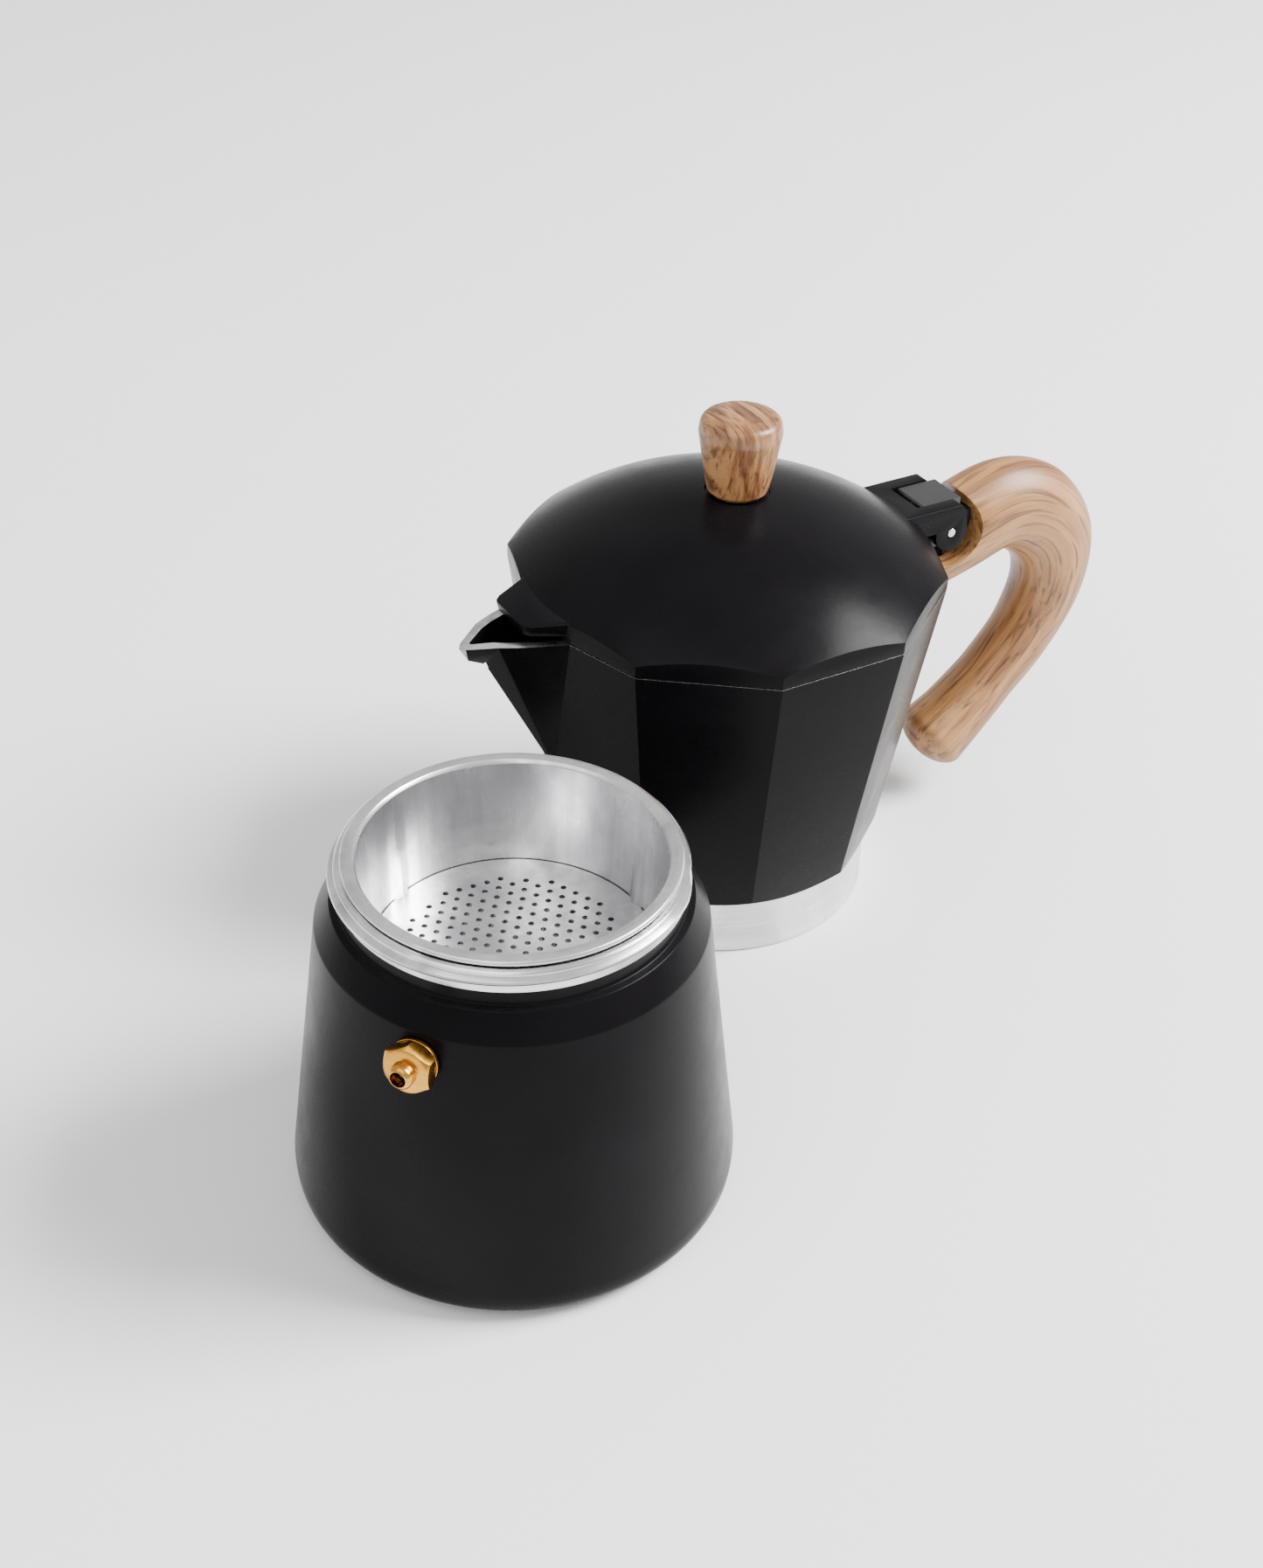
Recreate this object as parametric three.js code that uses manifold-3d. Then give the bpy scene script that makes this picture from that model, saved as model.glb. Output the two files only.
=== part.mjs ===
// A moka pot taken apart on a table: the boiler with its coffee funnel stands beside the ten-sided
// collector with its hinged lid. Millimetres, +Z up, origin at the centre of the boiler's flat base.
import * as THREE from "three";
import { mergeVertices } from "three/addons/utils/BufferGeometryUtils.js";
import { ConvexGeometry } from "three/addons/geometries/ConvexGeometry.js";
import Module from "manifold-3d";

const wasm = await Module();
wasm.setup();

// ---------------------------------------------------------------- driving dimensions
const ROUND = 40; // sides of a large turned piece
const SMALL = 16; // sides of a small turned piece
const THREAD_STEPS = ROUND; // thread segments in a turn, in step with the turned walls
const GAP = 0.3; // clearance between pieces that touch
const SLIDE = 0.5; // clearance between pieces that slide or turn

// boiler
const FOOT_R = 50; // widest radius, at the top of the rounded foot
const FOOT_ROUND = 20; // width of the rounding, from the widest radius to the flat underside
const FOOT_H = 8.4;
const FOOT_POWER = 4; // superellipse power of the rounded foot
const SHOULDER_W = 3.5; // top of the tapered wall beyond the thread
const SHOULDER_Z = 71.8;
const BOILER_WALL = 3;
const BOILER_FLOOR = 3.5;
const INNER_FOOT = 5; // slope between the inner wall and the inner floor
const THROAT = [3, 4]; // inside cone from the bore to the wall, above and below the shoulder
const NECK_H = 14.8; // shoulder to the rim
const NECK_WALL = 3.5; // bore to the root of the thread
const CHAMFER_H = 6;
const THREAD_DEPTH = 1.3;
const THREAD_PITCH = 2.8;
const THREAD_RISE = 4.9; // bare threaded height below the rim
const THREAD_TURNS = 0.9;
const THREAD_START = 1.2; // above the foot of the threaded height
const RIDGE_HALF = [1.1, 0.35]; // half width at the root and at the crest
const GROOVE_HALF = [1.75, 0.75];
const GROOVE_SINK = 0.6; // groove and ridge start inside the wall by this or less
const RIDGE_SINK = 0.3;
const THREAD_PLAY = 0.45; // female thread outside the male one
const NECK_RELIEF = 0.2; // undercut below the thread
const NECK_EDGE = 0.6; // chamfer at the rim and below the undercut

// funnel
const BOWL_R = 32.4; // inside radius at the rim
const SHEET = 0.7; // wall of the pressed funnel
const BOWL_TAPER = 1.4; // how much narrower the bowl is at its plate
const PLATE_DROP = 25; // rim to plate
const BEAD_W = 3.4; // rolled rim beyond the bowl
const BEAD_H = 1.3;
const PLATE_T = 0.8;
const LEDGE_W = 2;
const CONE_H = 7; // conical bottom of the bowl
const TUBE_R = 5.7;
const TUBE_WALL = 0.8;
const COLLAR_H = 8;
const TUBE_FOOT_GAP = 4.5; // tube end above the boiler floor
const HOLE_PITCH = 8.6; // sieve holes, wide apart
const HOLE_R = 0.8;
const PLATE_MARGIN = 4; // plain edge outside the holes

// safety valve
const VALVE_ANGLE = -143.5; // degrees, seen from above
const VALVE_DROP = 6.2; // below the shoulder
const HEX_AF = 10;
const HEX_T = 3.6;
const VALVE_WASHER_T = 0.9;
const VALVE_WASHER_W = 1.2; // beyond the shank
const SHANK_R = 4;
const SHANK_IN = 7; // shank behind the outer face of the wall
const CHAMBER_R = 2.6;
const NOSE_R = 2.7;
const NOSE_H = 2.8;
const VALVE_PIN_R = 0.9;
const VALVE_TRAVEL = 1.2;
const SPRING_TURNS = 5;
const SPRING_WIRE_R = 0.3;
const SPRING_STEPS = 8; // segments in a turn
const PLUG_T = 1.6; // head of the pin inside the chamber
const SEAT_T = 1;
const SEAT_BORE_R = 1.3;
const NOSE_DIMPLE = 0.9; // pin tip below the end of the nose

// collector
const COLLECTOR_X = 98.7;
const COLLECTOR_Y = 75.7;
const FACETS = 10;
const RING_WALL = 2.8; // outside the female thread
const RING_H = 15.3; // bare ring below the facets
const CONE_SLOPE = 0.86; // rise over run of the undercut below the facets
const BODY_LOW_OUT = 2.73; // corner radius at BODY_LOW_Z, beyond the ring
const BODY_LOW_Z = 18.1;
const RIM_R = 55.57; // corner radius at the rim
const RIM_Z = 89.6;
const BODY_WALL = 2.6;
const FLOOR_RISE = 8.1; // seat to the top of the floor
const SEAT_Z = 12.9; // face that the gasket bears on
const SOCKET_MOUTH = 1.1; // chamfer of the threaded bore
// below the seat: end of the thread, then the groove that the gasket snaps past
const THREAD_END = 4.9;
const GROOVE_LOW = 4.5;
const GROOVE_HIGH = 3.4;
const POCKET_LOW = 3.1;
const SEAT_W = 1.5; // ledge over the filter plate's edge
const DOME_START = 1; // room above the filter plate
const THROAT_DROP = 4; // floor to the top of that room
const GASKET_OUT = 0.4; // beyond the funnel's rolled rim
const GASKET_T = 2.6;
const GASKET_RIM = 5.7; // solid rubber round the filter plate
const FILTER_T = 1.1;
const FILTER_LIP = 2.4; // gasket lip under the filter plate

// coffee column
const COLUMN_R = 7.2;
const COLUMN_TOP_R = 4.6;
const COLUMN_DROP = 17.6; // rim to the column's mouth
const COLUMN_WALL = 1.2;
const CAP_H = 7;
const CAP_SKIRT = 4; // grip of the cap below the column's mouth
const CAP_WALL = 1.2;
const CAP_SLOT_HALF = 1.5;
const COLUMN_SIDES = 24;
const COLUMN_FLARE = 2;
const COLUMN_FLARE_H = 3;
const COLUMN_TENON = 3.9; // foot of the column inside the floor

// spout
// distances out are beyond the rim's corners
const SPOUT_ROOT = [-4.17, 12.8]; // where a lip leaves the rim: out, half width
const SPOUT_WAIST = [7.03, 8.4];
const SPOUT_LIP = [11.43, 6.2];
const SPOUT_REACH = 18.83;
const SPOUT_TIP_DROP = 1.6;
const NOSE_DROP = 5.6; // rim to the underside of the tip
const KEEL_TOP = [12.03, 7.8]; // out, below the rim
const KEEL_FOOT_DROP = 45.9;
const SPOUT_WALL = 1.9;
const CHANNEL_DEPTH = 30; // rim to the foot of the opening in the wall
const KNIT = 8; // how far the channel reaches into the pot

// lid
const LID_EDGE_H = 2.9; // skirt height at the corners
const DOME_H = 19.7; // corner of the skirt to the crown
const LID_WALL = 2.4;
const LIP_DEPTH = 1.5;
const TAB_REACH = 5.63; // beyond the rim's corners
const TAB_HALF = 8.5;
const TAB_ROOT = [-5.57, 13]; // out beyond the rim's corners, half width
const TAB_TOP = 4.6; // above the skirt's lower edge
const TAB_T = 3.2;

// hinge
// distances out and up are from the pin unless they say otherwise
const PIN_OUT = 7.83; // beyond the rim's corners
const PIN_UP = 0.2; // above the rim
const PIN_R = 1.25;
const PIN_PROUD = 0.2; // past the rails, each side
const FRAME_HALF = 10;
const FRAME_CHAMFER = 2.1;
const FRAME_TOP = 7.6;
const FRAME_ROOT = -14.4;
const WINDOW_START = -9.1;
const WINDOW_HALF = 6;
const RAIL_END = 2.6; // rail's top beyond the pin
const RAIL_NOSE = 4.1;
const EYE_R = 5; // round eye of each rail
const BLOCK_R = 9.9; // swing radius of the block's front edge
const BLOCK_FRONT = -7.1;
const BLOCK_BACK = 5.1;
const BLOCK_FOOT = -5.8;
const TENON_END = 16.6;
const TENON_HALF = 4.4;
const TENON_TOP = 2.2;

// handle
const LUG_HALF = 4.2; // cast lug on the collector
const LUG_END = 2.6; // beyond the pin
const LUG_FOOT = -14.8; // above the pin
const WOOD_LIP = -10; // above the pin
const HANDLE_FOOT_Z = 17; // end of the grip's centre line above the table
const HANDLE_SIDES = 16;
const HANDLE_STEPS = 18;
const HANDLE_END = 6.4; // rounded end beyond the path
// out from the pin, down from the pin, half height, half width
const HANDLE_PATH = [
  [-8.7, 9.2, 13.6, 11],
  [8.1, 5.5, 12.8, 10.8],
  [23.6, 1.6, 12.6, 10.8],
  [34.9, 5.7, 13, 11.2],
  [43.4, 16, 12.2, 10.9],
  [45, 29.5, 10.7, 10],
  [38.7, 44.9, 9.4, 9.1],
  [27.8, 57.8, 8.9, 8.8],
  [17.2, 67.9, 9.7, 9.6],
  [11, 72.8, 10.4, 10.4],
];
const HANDLE_SCREW_OUT = -3.8; // beyond the pin
const SCREW_R = 1.9;
const SCREW_HEAD_R = 3.3;
const SCREW_HEAD_H = 1.8;
const SCREW_SINK = 2.2; // washer face above the underside of the lug
const SCREW_TOP = -2.8; // above the pin

// knob
const KNOB_X = 2; // a little off the crown, towards the hinge
const KNOB_LOW_R = 7.6;
const KNOB_HIGH_R = 10.4;
const KNOB_H = 21;
const KNOB_ROUND = 2.2;
const SPOT_DEPTH = 1; // flat seat below the crown
const SPOT_MARGIN = 0.6; // seat beyond the foot of the knob
const KNOB_SCREW_IN = 10;
const KNOB_SIDES = 28;
const KNOB_WASHER_R = 4.6;
const KNOB_WASHER_T = 0.9;
const KNOB_HEAD_R = 3.9;
const KNOB_HEAD_H = 2.2;
const WASHER_T = 0.6; // under the handle's screw

// ---------------------------------------------------------------- tied dimensions
const NECK_Z = SHOULDER_Z + NECK_H;
const NECK_BORE = BOWL_R + SHEET + SLIDE;
const THREAD_ROOT = NECK_BORE + NECK_WALL;
const THREAD_R = THREAD_ROOT + THREAD_DEPTH; // crest of the male thread
const SHOULDER_R = THREAD_R + SHOULDER_W;
const BASE_FLAT_R = FOOT_R - FOOT_ROUND;
const BEAD_R = BOWL_R + BEAD_W;
const SCREWED_Z = NECK_Z - (SEAT_Z - GAP - GASKET_T) + BEAD_H + GAP; // ring's foot when screwed on
const BOWL_LOW_R = BOWL_R - BOWL_TAPER;
const LEDGE_Z = NECK_Z - PLATE_DROP - PLATE_T;
const PLATE_R = BOWL_LOW_R - SLIDE;
const COLLAR_R = TUBE_R + GAP;
const WALL_RUN = (FOOT_R - SHOULDER_R) / (SHOULDER_Z - FOOT_H);
const WALL_TILT = Math.atan(WALL_RUN);
const VALVE_Z = SHOULDER_Z - VALVE_DROP;
const VALVE_R = FOOT_R - WALL_RUN * (VALVE_Z - FOOT_H);
const MINOR_R = THREAD_ROOT + THREAD_PLAY; // bore of the female thread
const MAJOR_R = THREAD_R + THREAD_PLAY;
const RING_R = MAJOR_R + RING_WALL;
const GASKET_R = BEAD_R + GASKET_OUT;
const FILTER_R = GASKET_R - GASKET_RIM;
const POCKET_R = GASKET_R + GAP;
const FLOOR_Z = SEAT_Z + FLOOR_RISE;
const COLUMN_TOP_Z = RIM_Z - COLUMN_DROP;
const BODY_LOW_R = RING_R + BODY_LOW_OUT;
const BODY_RUN = (RIM_R - BODY_LOW_R) / (RIM_Z - BODY_LOW_Z);
const bodyR = (z) => BODY_LOW_R + BODY_RUN * (z - BODY_LOW_Z);
const FACET_COS = Math.cos(Math.PI / FACETS);
const LID_Z = RIM_Z + GAP;
const SKIRT_Z = LID_Z + LID_EDGE_H;
const DOME_R = (RIM_R ** 2 + DOME_H ** 2) / (2 * DOME_H);
const CROWN_Z = SKIRT_Z + DOME_H;
const DOME_C = CROWN_Z - DOME_R;
const KEEL_FOOT_Z = RIM_Z - KEEL_FOOT_DROP;
const SPOUT_TIP = RIM_R + SPOUT_REACH;
const PIN_X = RIM_R + PIN_OUT;
const PIN_Z = RIM_Z + PIN_UP;
const LID_RELIEF_R = BLOCK_R + SLIDE;
const HANDLE_RECESS_R = BLOCK_R + GAP; // round the hinge pin
const FRAME_ROOT_X = PIN_X + FRAME_ROOT;
const BLOCK_BACK_X = PIN_X + BLOCK_BACK;
const BLOCK_FOOT_Z = PIN_Z + BLOCK_FOOT;
const TENON_END_X = PIN_X + TENON_END;
const TENON_TOP_Z = PIN_Z + TENON_TOP;
const LUG_END_X = PIN_X + LUG_END;
const LUG_FOOT_Z = PIN_Z + LUG_FOOT;
const HANDLE_SCREW_X = PIN_X + HANDLE_SCREW_OUT;
const SCREW_TOP_Z = PIN_Z + SCREW_TOP;

// ---------------------------------------------------------------- geometry helpers
// A closed geometry as a manifold solid, with its faces turned out.
function solid(geometry) {
  const bare = geometry.clone();
  for (const name of ["normal", "uv"]) bare.deleteAttribute(name);
  const merged = mergeVertices(bare, 1e-4);
  const all = merged.index.array;
  const build = (flip) => {
    const tris = [];
    for (let i = 0; i < all.length; i += 3) {
      const [a, b, c] = [all[i], all[i + 1], all[i + 2]];
      if (a !== b && b !== c && c !== a) tris.push(a, flip ? c : b, flip ? b : c);
    }
    return new wasm.Manifold(
      new wasm.Mesh({
        numProp: 3,
        vertProperties: new Float32Array(merged.attributes.position.array),
        triVerts: new Uint32Array(tris),
      }),
    );
  };
  const made = build(false);
  return made.volume() < 0 ? build(true) : made;
}

// Revolves [radius, height] points about Z; corners stand at angle 0 and every 360/sides degrees.
function turned(profile, sides = ROUND) {
  const points = profile.map(([r, z]) => new THREE.Vector2(r, z));
  if (profile[0][0] > 0) points.push(points[0].clone());
  const lathe = new THREE.LatheGeometry(points, sides, Math.PI / 2, 2 * Math.PI);
  return solid(lathe.rotateX(Math.PI / 2));
}

// The same about the X axis, pointing along +X.
function turnedX(profile, sides = SMALL) {
  return turned(profile, sides).rotate([0, 90, 0]);
}

const ring = (inner, outer, low, high, sides = ROUND) =>
  turned([[inner, low], [outer, low], [outer, high], [inner, high]], sides);

const rod = (r, low, high, sides = SMALL) =>
  turned([[0, low], [r, low], [r, high], [0, high]], sides);

const rodX = (r, low, high, sides = SMALL) => rod(r, low, high, sides).rotate([0, 90, 0]);

const box = (x0, x1, y0, y1, z0, z1) =>
  solid(
    new THREE.BoxGeometry(x1 - x0, y1 - y0, z1 - z0).translate(
      (x0 + x1) / 2,
      (y0 + y1) / 2,
      (z0 + z1) / 2,
    ),
  );

// A side profile in X and Z, as thick as 2 * half about the plane Y = 0.
function slab(shape, half, arcs = 6) {
  const options = { depth: 2 * half, bevelEnabled: false, curveSegments: arcs };
  return solid(
    new THREE.ExtrudeGeometry(shape, options).rotateX(Math.PI / 2).translate(0, half, 0),
  );
}

// A round bar along Y through (x, z).
const crossBar = (r, x, z, half, sides = SMALL) =>
  solid(new THREE.CylinderGeometry(r, r, 2 * half, sides).translate(x, 0, z));

const hull = (points) => solid(new ConvexGeometry(points.map((p) => new THREE.Vector3(...p))));

// Skins rings of equal length and closes both ends.
function loft(rings) {
  const n = rings[0].length;
  const positions = rings.flat().flatMap((p) => [p.x, p.y, p.z]);
  const index = [];
  for (let i = 0; i + 1 < rings.length; i++)
    for (let j = 0; j < n; j++) {
      const [a, b] = [i * n + j, i * n + ((j + 1) % n)];
      index.push(a, b, b + n, a, b + n, a + n);
    }
  const last = (rings.length - 1) * n;
  for (let j = 1; j + 1 < n; j++) index.push(0, j + 1, j, last, last + j, last + j + 1);
  const geometry = new THREE.BufferGeometry();
  geometry.setAttribute("position", new THREE.Float32BufferAttribute(positions, 3));
  return solid(geometry.setIndex(index));
}

// A helical ridge or groove about Z: its root lies at rootR, its crest at crestR.
function thread(rootR, crestR, [rootHalf, crestHalf], low, turns) {
  const steps = Math.ceil(turns * THREAD_STEPS);
  const rings = [];
  for (let i = 0; i <= steps; i++) {
    const angle = (i / steps) * turns * 2 * Math.PI;
    const z = low + (THREAD_PITCH * angle) / (2 * Math.PI);
    const fade = Math.min(1, 0.1 + Math.min(i, steps - i) / 4);
    const crest = rootR + (crestR - rootR) * fade;
    const corners = [
      [rootR, -rootHalf],
      [crest, -crestHalf],
      [crest, crestHalf],
      [rootR, rootHalf],
    ];
    const [c, s] = [Math.cos(angle), Math.sin(angle)];
    rings.push(corners.map(([r, dz]) => new THREE.Vector3(r * c, r * s, z + dz)));
  }
  return loft(rings);
}

// Small square holes on a hexagonal grid inside a radius.
function holeGrid(radius, low, high) {
  const pins = [];
  const row = HOLE_PITCH * Math.sin(Math.PI / 3);
  const reach = Math.ceil(radius / row);
  for (let j = -reach; j <= reach; j++)
    for (let i = -reach - 1; i <= reach + 1; i++) {
      const x = HOLE_PITCH * (i + (Math.abs(j) % 2) / 2);
      const y = row * j;
      if (Math.hypot(x, y) + HOLE_R > radius) continue;
      pins.push(rod(HOLE_R, low, high, 4).translate([x, y, 0]));
    }
  return wasm.Manifold.compose(pins);
}

// ---------------------------------------------------------------- materials
const finish = (color, roughness, metalness) =>
  new THREE.MeshStandardMaterial({ color, roughness, metalness });
const BLACK_PAINT = finish(0x1f1e20, 0.42, 0);
const BARE_ALUMINIUM = finish(0xc3c3c4, 0.34, 1);
const BRASS = finish(0xc6913a, 0.25, 1);
const WOOD = finish(0xc4935f, 0.45, 0);
const BLACK_PLASTIC = finish(0x1a1a1c, 0.38, 0);
const STEEL = finish(0xb9babb, 0.3, 1);
const SILICONE = finish(0xe9e6df, 0.6, 0);

function node(name, made, material) {
  const mesh = made.getMesh();
  const geometry = new THREE.BufferGeometry();
  geometry.setAttribute("position", new THREE.BufferAttribute(mesh.vertProperties, 3));
  geometry.setIndex(new THREE.BufferAttribute(mesh.triVerts, 1));
  const piece = new THREE.Mesh(geometry, material);
  piece.name = name;
  return piece;
}

// ---------------------------------------------------------------- boiler
function boilerShell() {
  const profile = [[0, 0]];
  const arcs = 7;
  for (let i = 0; i <= arcs; i++) {
    const a = (i / arcs) * (Math.PI / 2);
    const out = (FOOT_R - BASE_FLAT_R) * Math.sin(a) ** (2 / FOOT_POWER);
    const up = FOOT_H * (1 - Math.cos(a) ** (2 / FOOT_POWER));
    profile.push([BASE_FLAT_R + out, up]);
  }
  const relief = THREAD_ROOT - NECK_RELIEF;
  const insideR = SHOULDER_R - BOILER_WALL;
  profile.push(
    [SHOULDER_R, SHOULDER_Z],
    [THREAD_R, SHOULDER_Z + CHAMFER_H],
    [relief, SHOULDER_Z + CHAMFER_H + NECK_EDGE],
    [relief, NECK_Z - THREAD_RISE - NECK_RELIEF],
    [THREAD_ROOT, NECK_Z - THREAD_RISE],
    [THREAD_ROOT, NECK_Z - NECK_EDGE],
    [THREAD_ROOT - 0.5, NECK_Z],
    [NECK_BORE, NECK_Z],
    [NECK_BORE, SHOULDER_Z + THROAT[0]],
    [insideR, SHOULDER_Z - THROAT[1]],
    [FOOT_R - BOILER_WALL, FOOT_H + 2],
    [FOOT_R - BOILER_WALL - INNER_FOOT, BOILER_FLOOR],
    [0, BOILER_FLOOR],
  );
  const ridgeLow = NECK_Z - THREAD_RISE + THREAD_START;
  const ridge = thread(THREAD_ROOT - RIDGE_SINK, THREAD_R, RIDGE_HALF, ridgeLow, THREAD_TURNS);
  const hole = rodX(SHANK_R + GAP, -3 * BOILER_WALL, 3 * BOILER_WALL);
  return turned(profile).add(ridge).subtract(atValve(hole));
}

// Moves a solid built about +X at the origin onto the boiler's wall, square to it.
function atValve(made) {
  const angle = THREE.MathUtils.degToRad(VALVE_ANGLE);
  return made
    .rotate([0, -THREE.MathUtils.radToDeg(WALL_TILT), 0])
    .rotate([0, 0, VALVE_ANGLE])
    .translate([VALVE_R * Math.cos(angle), VALVE_R * Math.sin(angle), VALVE_Z]);
}

const VALVE_FACE = GAP + VALVE_WASHER_T + GAP; // back of the hexagon
const CHAMBER_END = VALVE_FACE + 1;

function valveBody() {
  const hexR = HEX_AF / 2 / Math.cos(Math.PI / 6);
  const front = VALVE_FACE + HEX_T;
  const hexagon = rodX(hexR, VALVE_FACE, front, 6);
  const rounding = turnedX([
    [0, VALVE_FACE - 1],
    [hexR + 0.1, VALVE_FACE - 1],
    [hexR + 0.1, front - 1.1],
    [hexR - 0.9, front - 0.35],
    [NOSE_R + 0.8, front],
    [0, front],
  ]);
  const nose = turnedX([
    [0, -SHANK_IN],
    [SHANK_R, -SHANK_IN],
    [SHANK_R, VALVE_FACE + 0.5],
    [NOSE_R, VALVE_FACE + 1],
    [NOSE_R, front + NOSE_H * 0.45],
    [NOSE_R * 0.8, front + NOSE_H * 0.8],
    [NOSE_R * 0.5, front + NOSE_H],
    [0, front + NOSE_H],
  ]);
  const chamber = rodX(CHAMBER_R, -2 * SHANK_IN, CHAMBER_END);
  const bore = rodX(VALVE_PIN_R + GAP, -2 * SHANK_IN, 2 * SHANK_IN);
  return atValve(hexagon.intersect(rounding).add(nose).subtract(chamber).subtract(bore));
}

const valveWasher = () =>
  atValve(
    turnedX([
      [SHANK_R + GAP, GAP],
      [SHANK_R + VALVE_WASHER_W, GAP],
      [SHANK_R + VALVE_WASHER_W, GAP + VALVE_WASHER_T],
      [SHANK_R + GAP, GAP + VALVE_WASHER_T],
    ]),
  );

const SEAT_FACE = -SHANK_IN - GAP; // outer face of the valve's seat ring

const valveSeat = () =>
  atValve(
    turnedX([
      [SEAT_BORE_R, SEAT_FACE - SEAT_T],
      [SHANK_R, SEAT_FACE - SEAT_T],
      [SHANK_R, SEAT_FACE],
      [SEAT_BORE_R, SEAT_FACE],
    ]),
  );

function valvePin() {
  const plug = SEAT_FACE + GAP;
  const tip = VALVE_FACE + HEX_T + NOSE_H - NOSE_DIMPLE;
  return atValve(
    turnedX([
      [0, plug],
      [CHAMBER_R - SLIDE, plug],
      [CHAMBER_R - SLIDE, plug + PLUG_T],
      [VALVE_PIN_R, plug + PLUG_T],
      [VALVE_PIN_R, tip],
      [0, tip],
    ]),
  );
}

function valveSpring() {
  const start = SEAT_FACE + GAP + PLUG_T + GAP + SPRING_WIRE_R;
  const end = CHAMBER_END - VALVE_TRAVEL - GAP - SPRING_WIRE_R;
  const coilR = (VALVE_PIN_R + CHAMBER_R) / 2;
  class Coil extends THREE.Curve {
    getPoint(t, target = new THREE.Vector3()) {
      const a = t * SPRING_TURNS * 2 * Math.PI;
      return target.set(start + t * (end - start), coilR * Math.cos(a), coilR * Math.sin(a));
    }
  }
  const section = new THREE.Shape().absarc(0, 0, SPRING_WIRE_R, 0, 2 * Math.PI);
  const wire = new THREE.ExtrudeGeometry(section, {
    steps: SPRING_TURNS * SPRING_STEPS,
    curveSegments: 3,
    bevelEnabled: false,
    extrudePath: new Coil(),
  });
  return atValve(solid(wire));
}

// ---------------------------------------------------------------- funnel
function funnelBowl() {
  const seat = NECK_Z + GAP;
  const top = seat + BEAD_H;
  const bottom = LEDGE_Z - CONE_H;
  const innerLedge = PLATE_R - LEDGE_W;
  return turned([
    [BOWL_R, top - 0.9],
    [BOWL_LOW_R, LEDGE_Z + 0.6],
    [BOWL_LOW_R - 0.2, LEDGE_Z],
    [innerLedge, LEDGE_Z],
    [COLLAR_R, bottom],
    [COLLAR_R, bottom - COLLAR_H],
    [COLLAR_R + SHEET, bottom - COLLAR_H],
    [COLLAR_R + SHEET, bottom - SHEET],
    [innerLedge + 0.4, LEDGE_Z - SHEET],
    [BOWL_LOW_R + SHEET - 0.4, LEDGE_Z - SHEET],
    [BOWL_LOW_R + SHEET, LEDGE_Z],
    [BOWL_R + SHEET, seat],
    [BEAD_R - 0.4, seat],
    [BEAD_R, seat + 0.5],
    [BEAD_R - 0.5, top - 0.2],
    [(BEAD_R + BOWL_R) / 2 + 0.3, top],
    [BOWL_R + 0.5, top - 0.3],
  ]);
}

const funnelTube = () =>
  ring(
    TUBE_R - TUBE_WALL,
    TUBE_R,
    BOILER_FLOOR + TUBE_FOOT_GAP,
    LEDGE_Z - CONE_H - 2 * GAP,
    COLUMN_SIDES,
  );

function funnelPlate() {
  const low = LEDGE_Z + GAP;
  return rod(PLATE_R, low, low + PLATE_T, ROUND).subtract(
    holeGrid(PLATE_R - PLATE_MARGIN, low - 1, low + PLATE_T + 1),
  );
}

// ---------------------------------------------------------------- collector
const COLUMN_SOCKET_R = COLUMN_R - COLUMN_WALL; // foot of the column inside the floor

// A point given beyond the rim's corners, from the collector's axis.
const pastRim = ([out, other]) => [RIM_R + out, other];

function spoutOutside() {
  const [rootX, rootY] = pastRim(SPOUT_ROOT);
  const [waistX, waistY] = pastRim(SPOUT_WAIST);
  const [lipX, lipY] = pastRim(SPOUT_LIP);
  const [keelX, keelDrop] = pastRim(KEEL_TOP);
  const foot = [-bodyR(KEEL_FOOT_Z) + 0.5, 0, KEEL_FOOT_Z];
  const nose = [-(SPOUT_TIP - 2.4), 0, RIM_Z - NOSE_DROP];
  const pairs = (x, y, z) => [[-x, y, z], [-x, -y, z]];
  const beak = hull([
    ...pairs(rootX - 3, rootY, RIM_Z),
    ...pairs(rootX, rootY, RIM_Z),
    ...pairs(waistX, waistY, RIM_Z),
    ...pairs(lipX, lipY, RIM_Z),
    [-keelX, 0, RIM_Z - keelDrop],
    foot,
    ...pairs(rootX - 6, 2, KEEL_FOOT_Z + 6),
  ]);
  const lip = hull([
    ...pairs(waistX, waistY, RIM_Z),
    ...pairs(lipX, lipY, RIM_Z),
    ...pairs(SPOUT_TIP - 1, 1.6, RIM_Z - SPOUT_TIP_DROP * 0.8),
    [-SPOUT_TIP, 0, RIM_Z - SPOUT_TIP_DROP],
    nose,
    [-keelX, 0, RIM_Z - keelDrop],
    [-waistX, 0, RIM_Z - keelDrop],
  ]);
  return beak.add(lip);
}

function spoutChannel() {
  const [rootX, rootY] = pastRim(SPOUT_ROOT);
  const [waistX, waistY] = pastRim(SPOUT_WAIST);
  const [keelX, keelDrop] = pastRim(KEEL_TOP);
  const above = RIM_Z + 2;
  const w = SPOUT_WALL;
  const pairs = (x, y, z) => [[-x, y, z], [-x, -y, z]];
  return hull([
    ...pairs(rootX - KNIT, rootY - w, above),
    ...pairs(rootX, rootY - w, above),
    ...pairs(waistX, waistY - w, above),
    [-(SPOUT_TIP - w), 0, above],
    [-(SPOUT_TIP - w - 0.5), 0, RIM_Z - SPOUT_TIP_DROP - 1],
    [-(keelX - w), 0, RIM_Z - keelDrop + 1.5],
    [-(keelX - 2 * w - 9), 0, RIM_Z - CHANNEL_DEPTH + 2],
    [-(rootX - KNIT), 0, RIM_Z - CHANNEL_DEPTH],
  ]);
}

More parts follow.
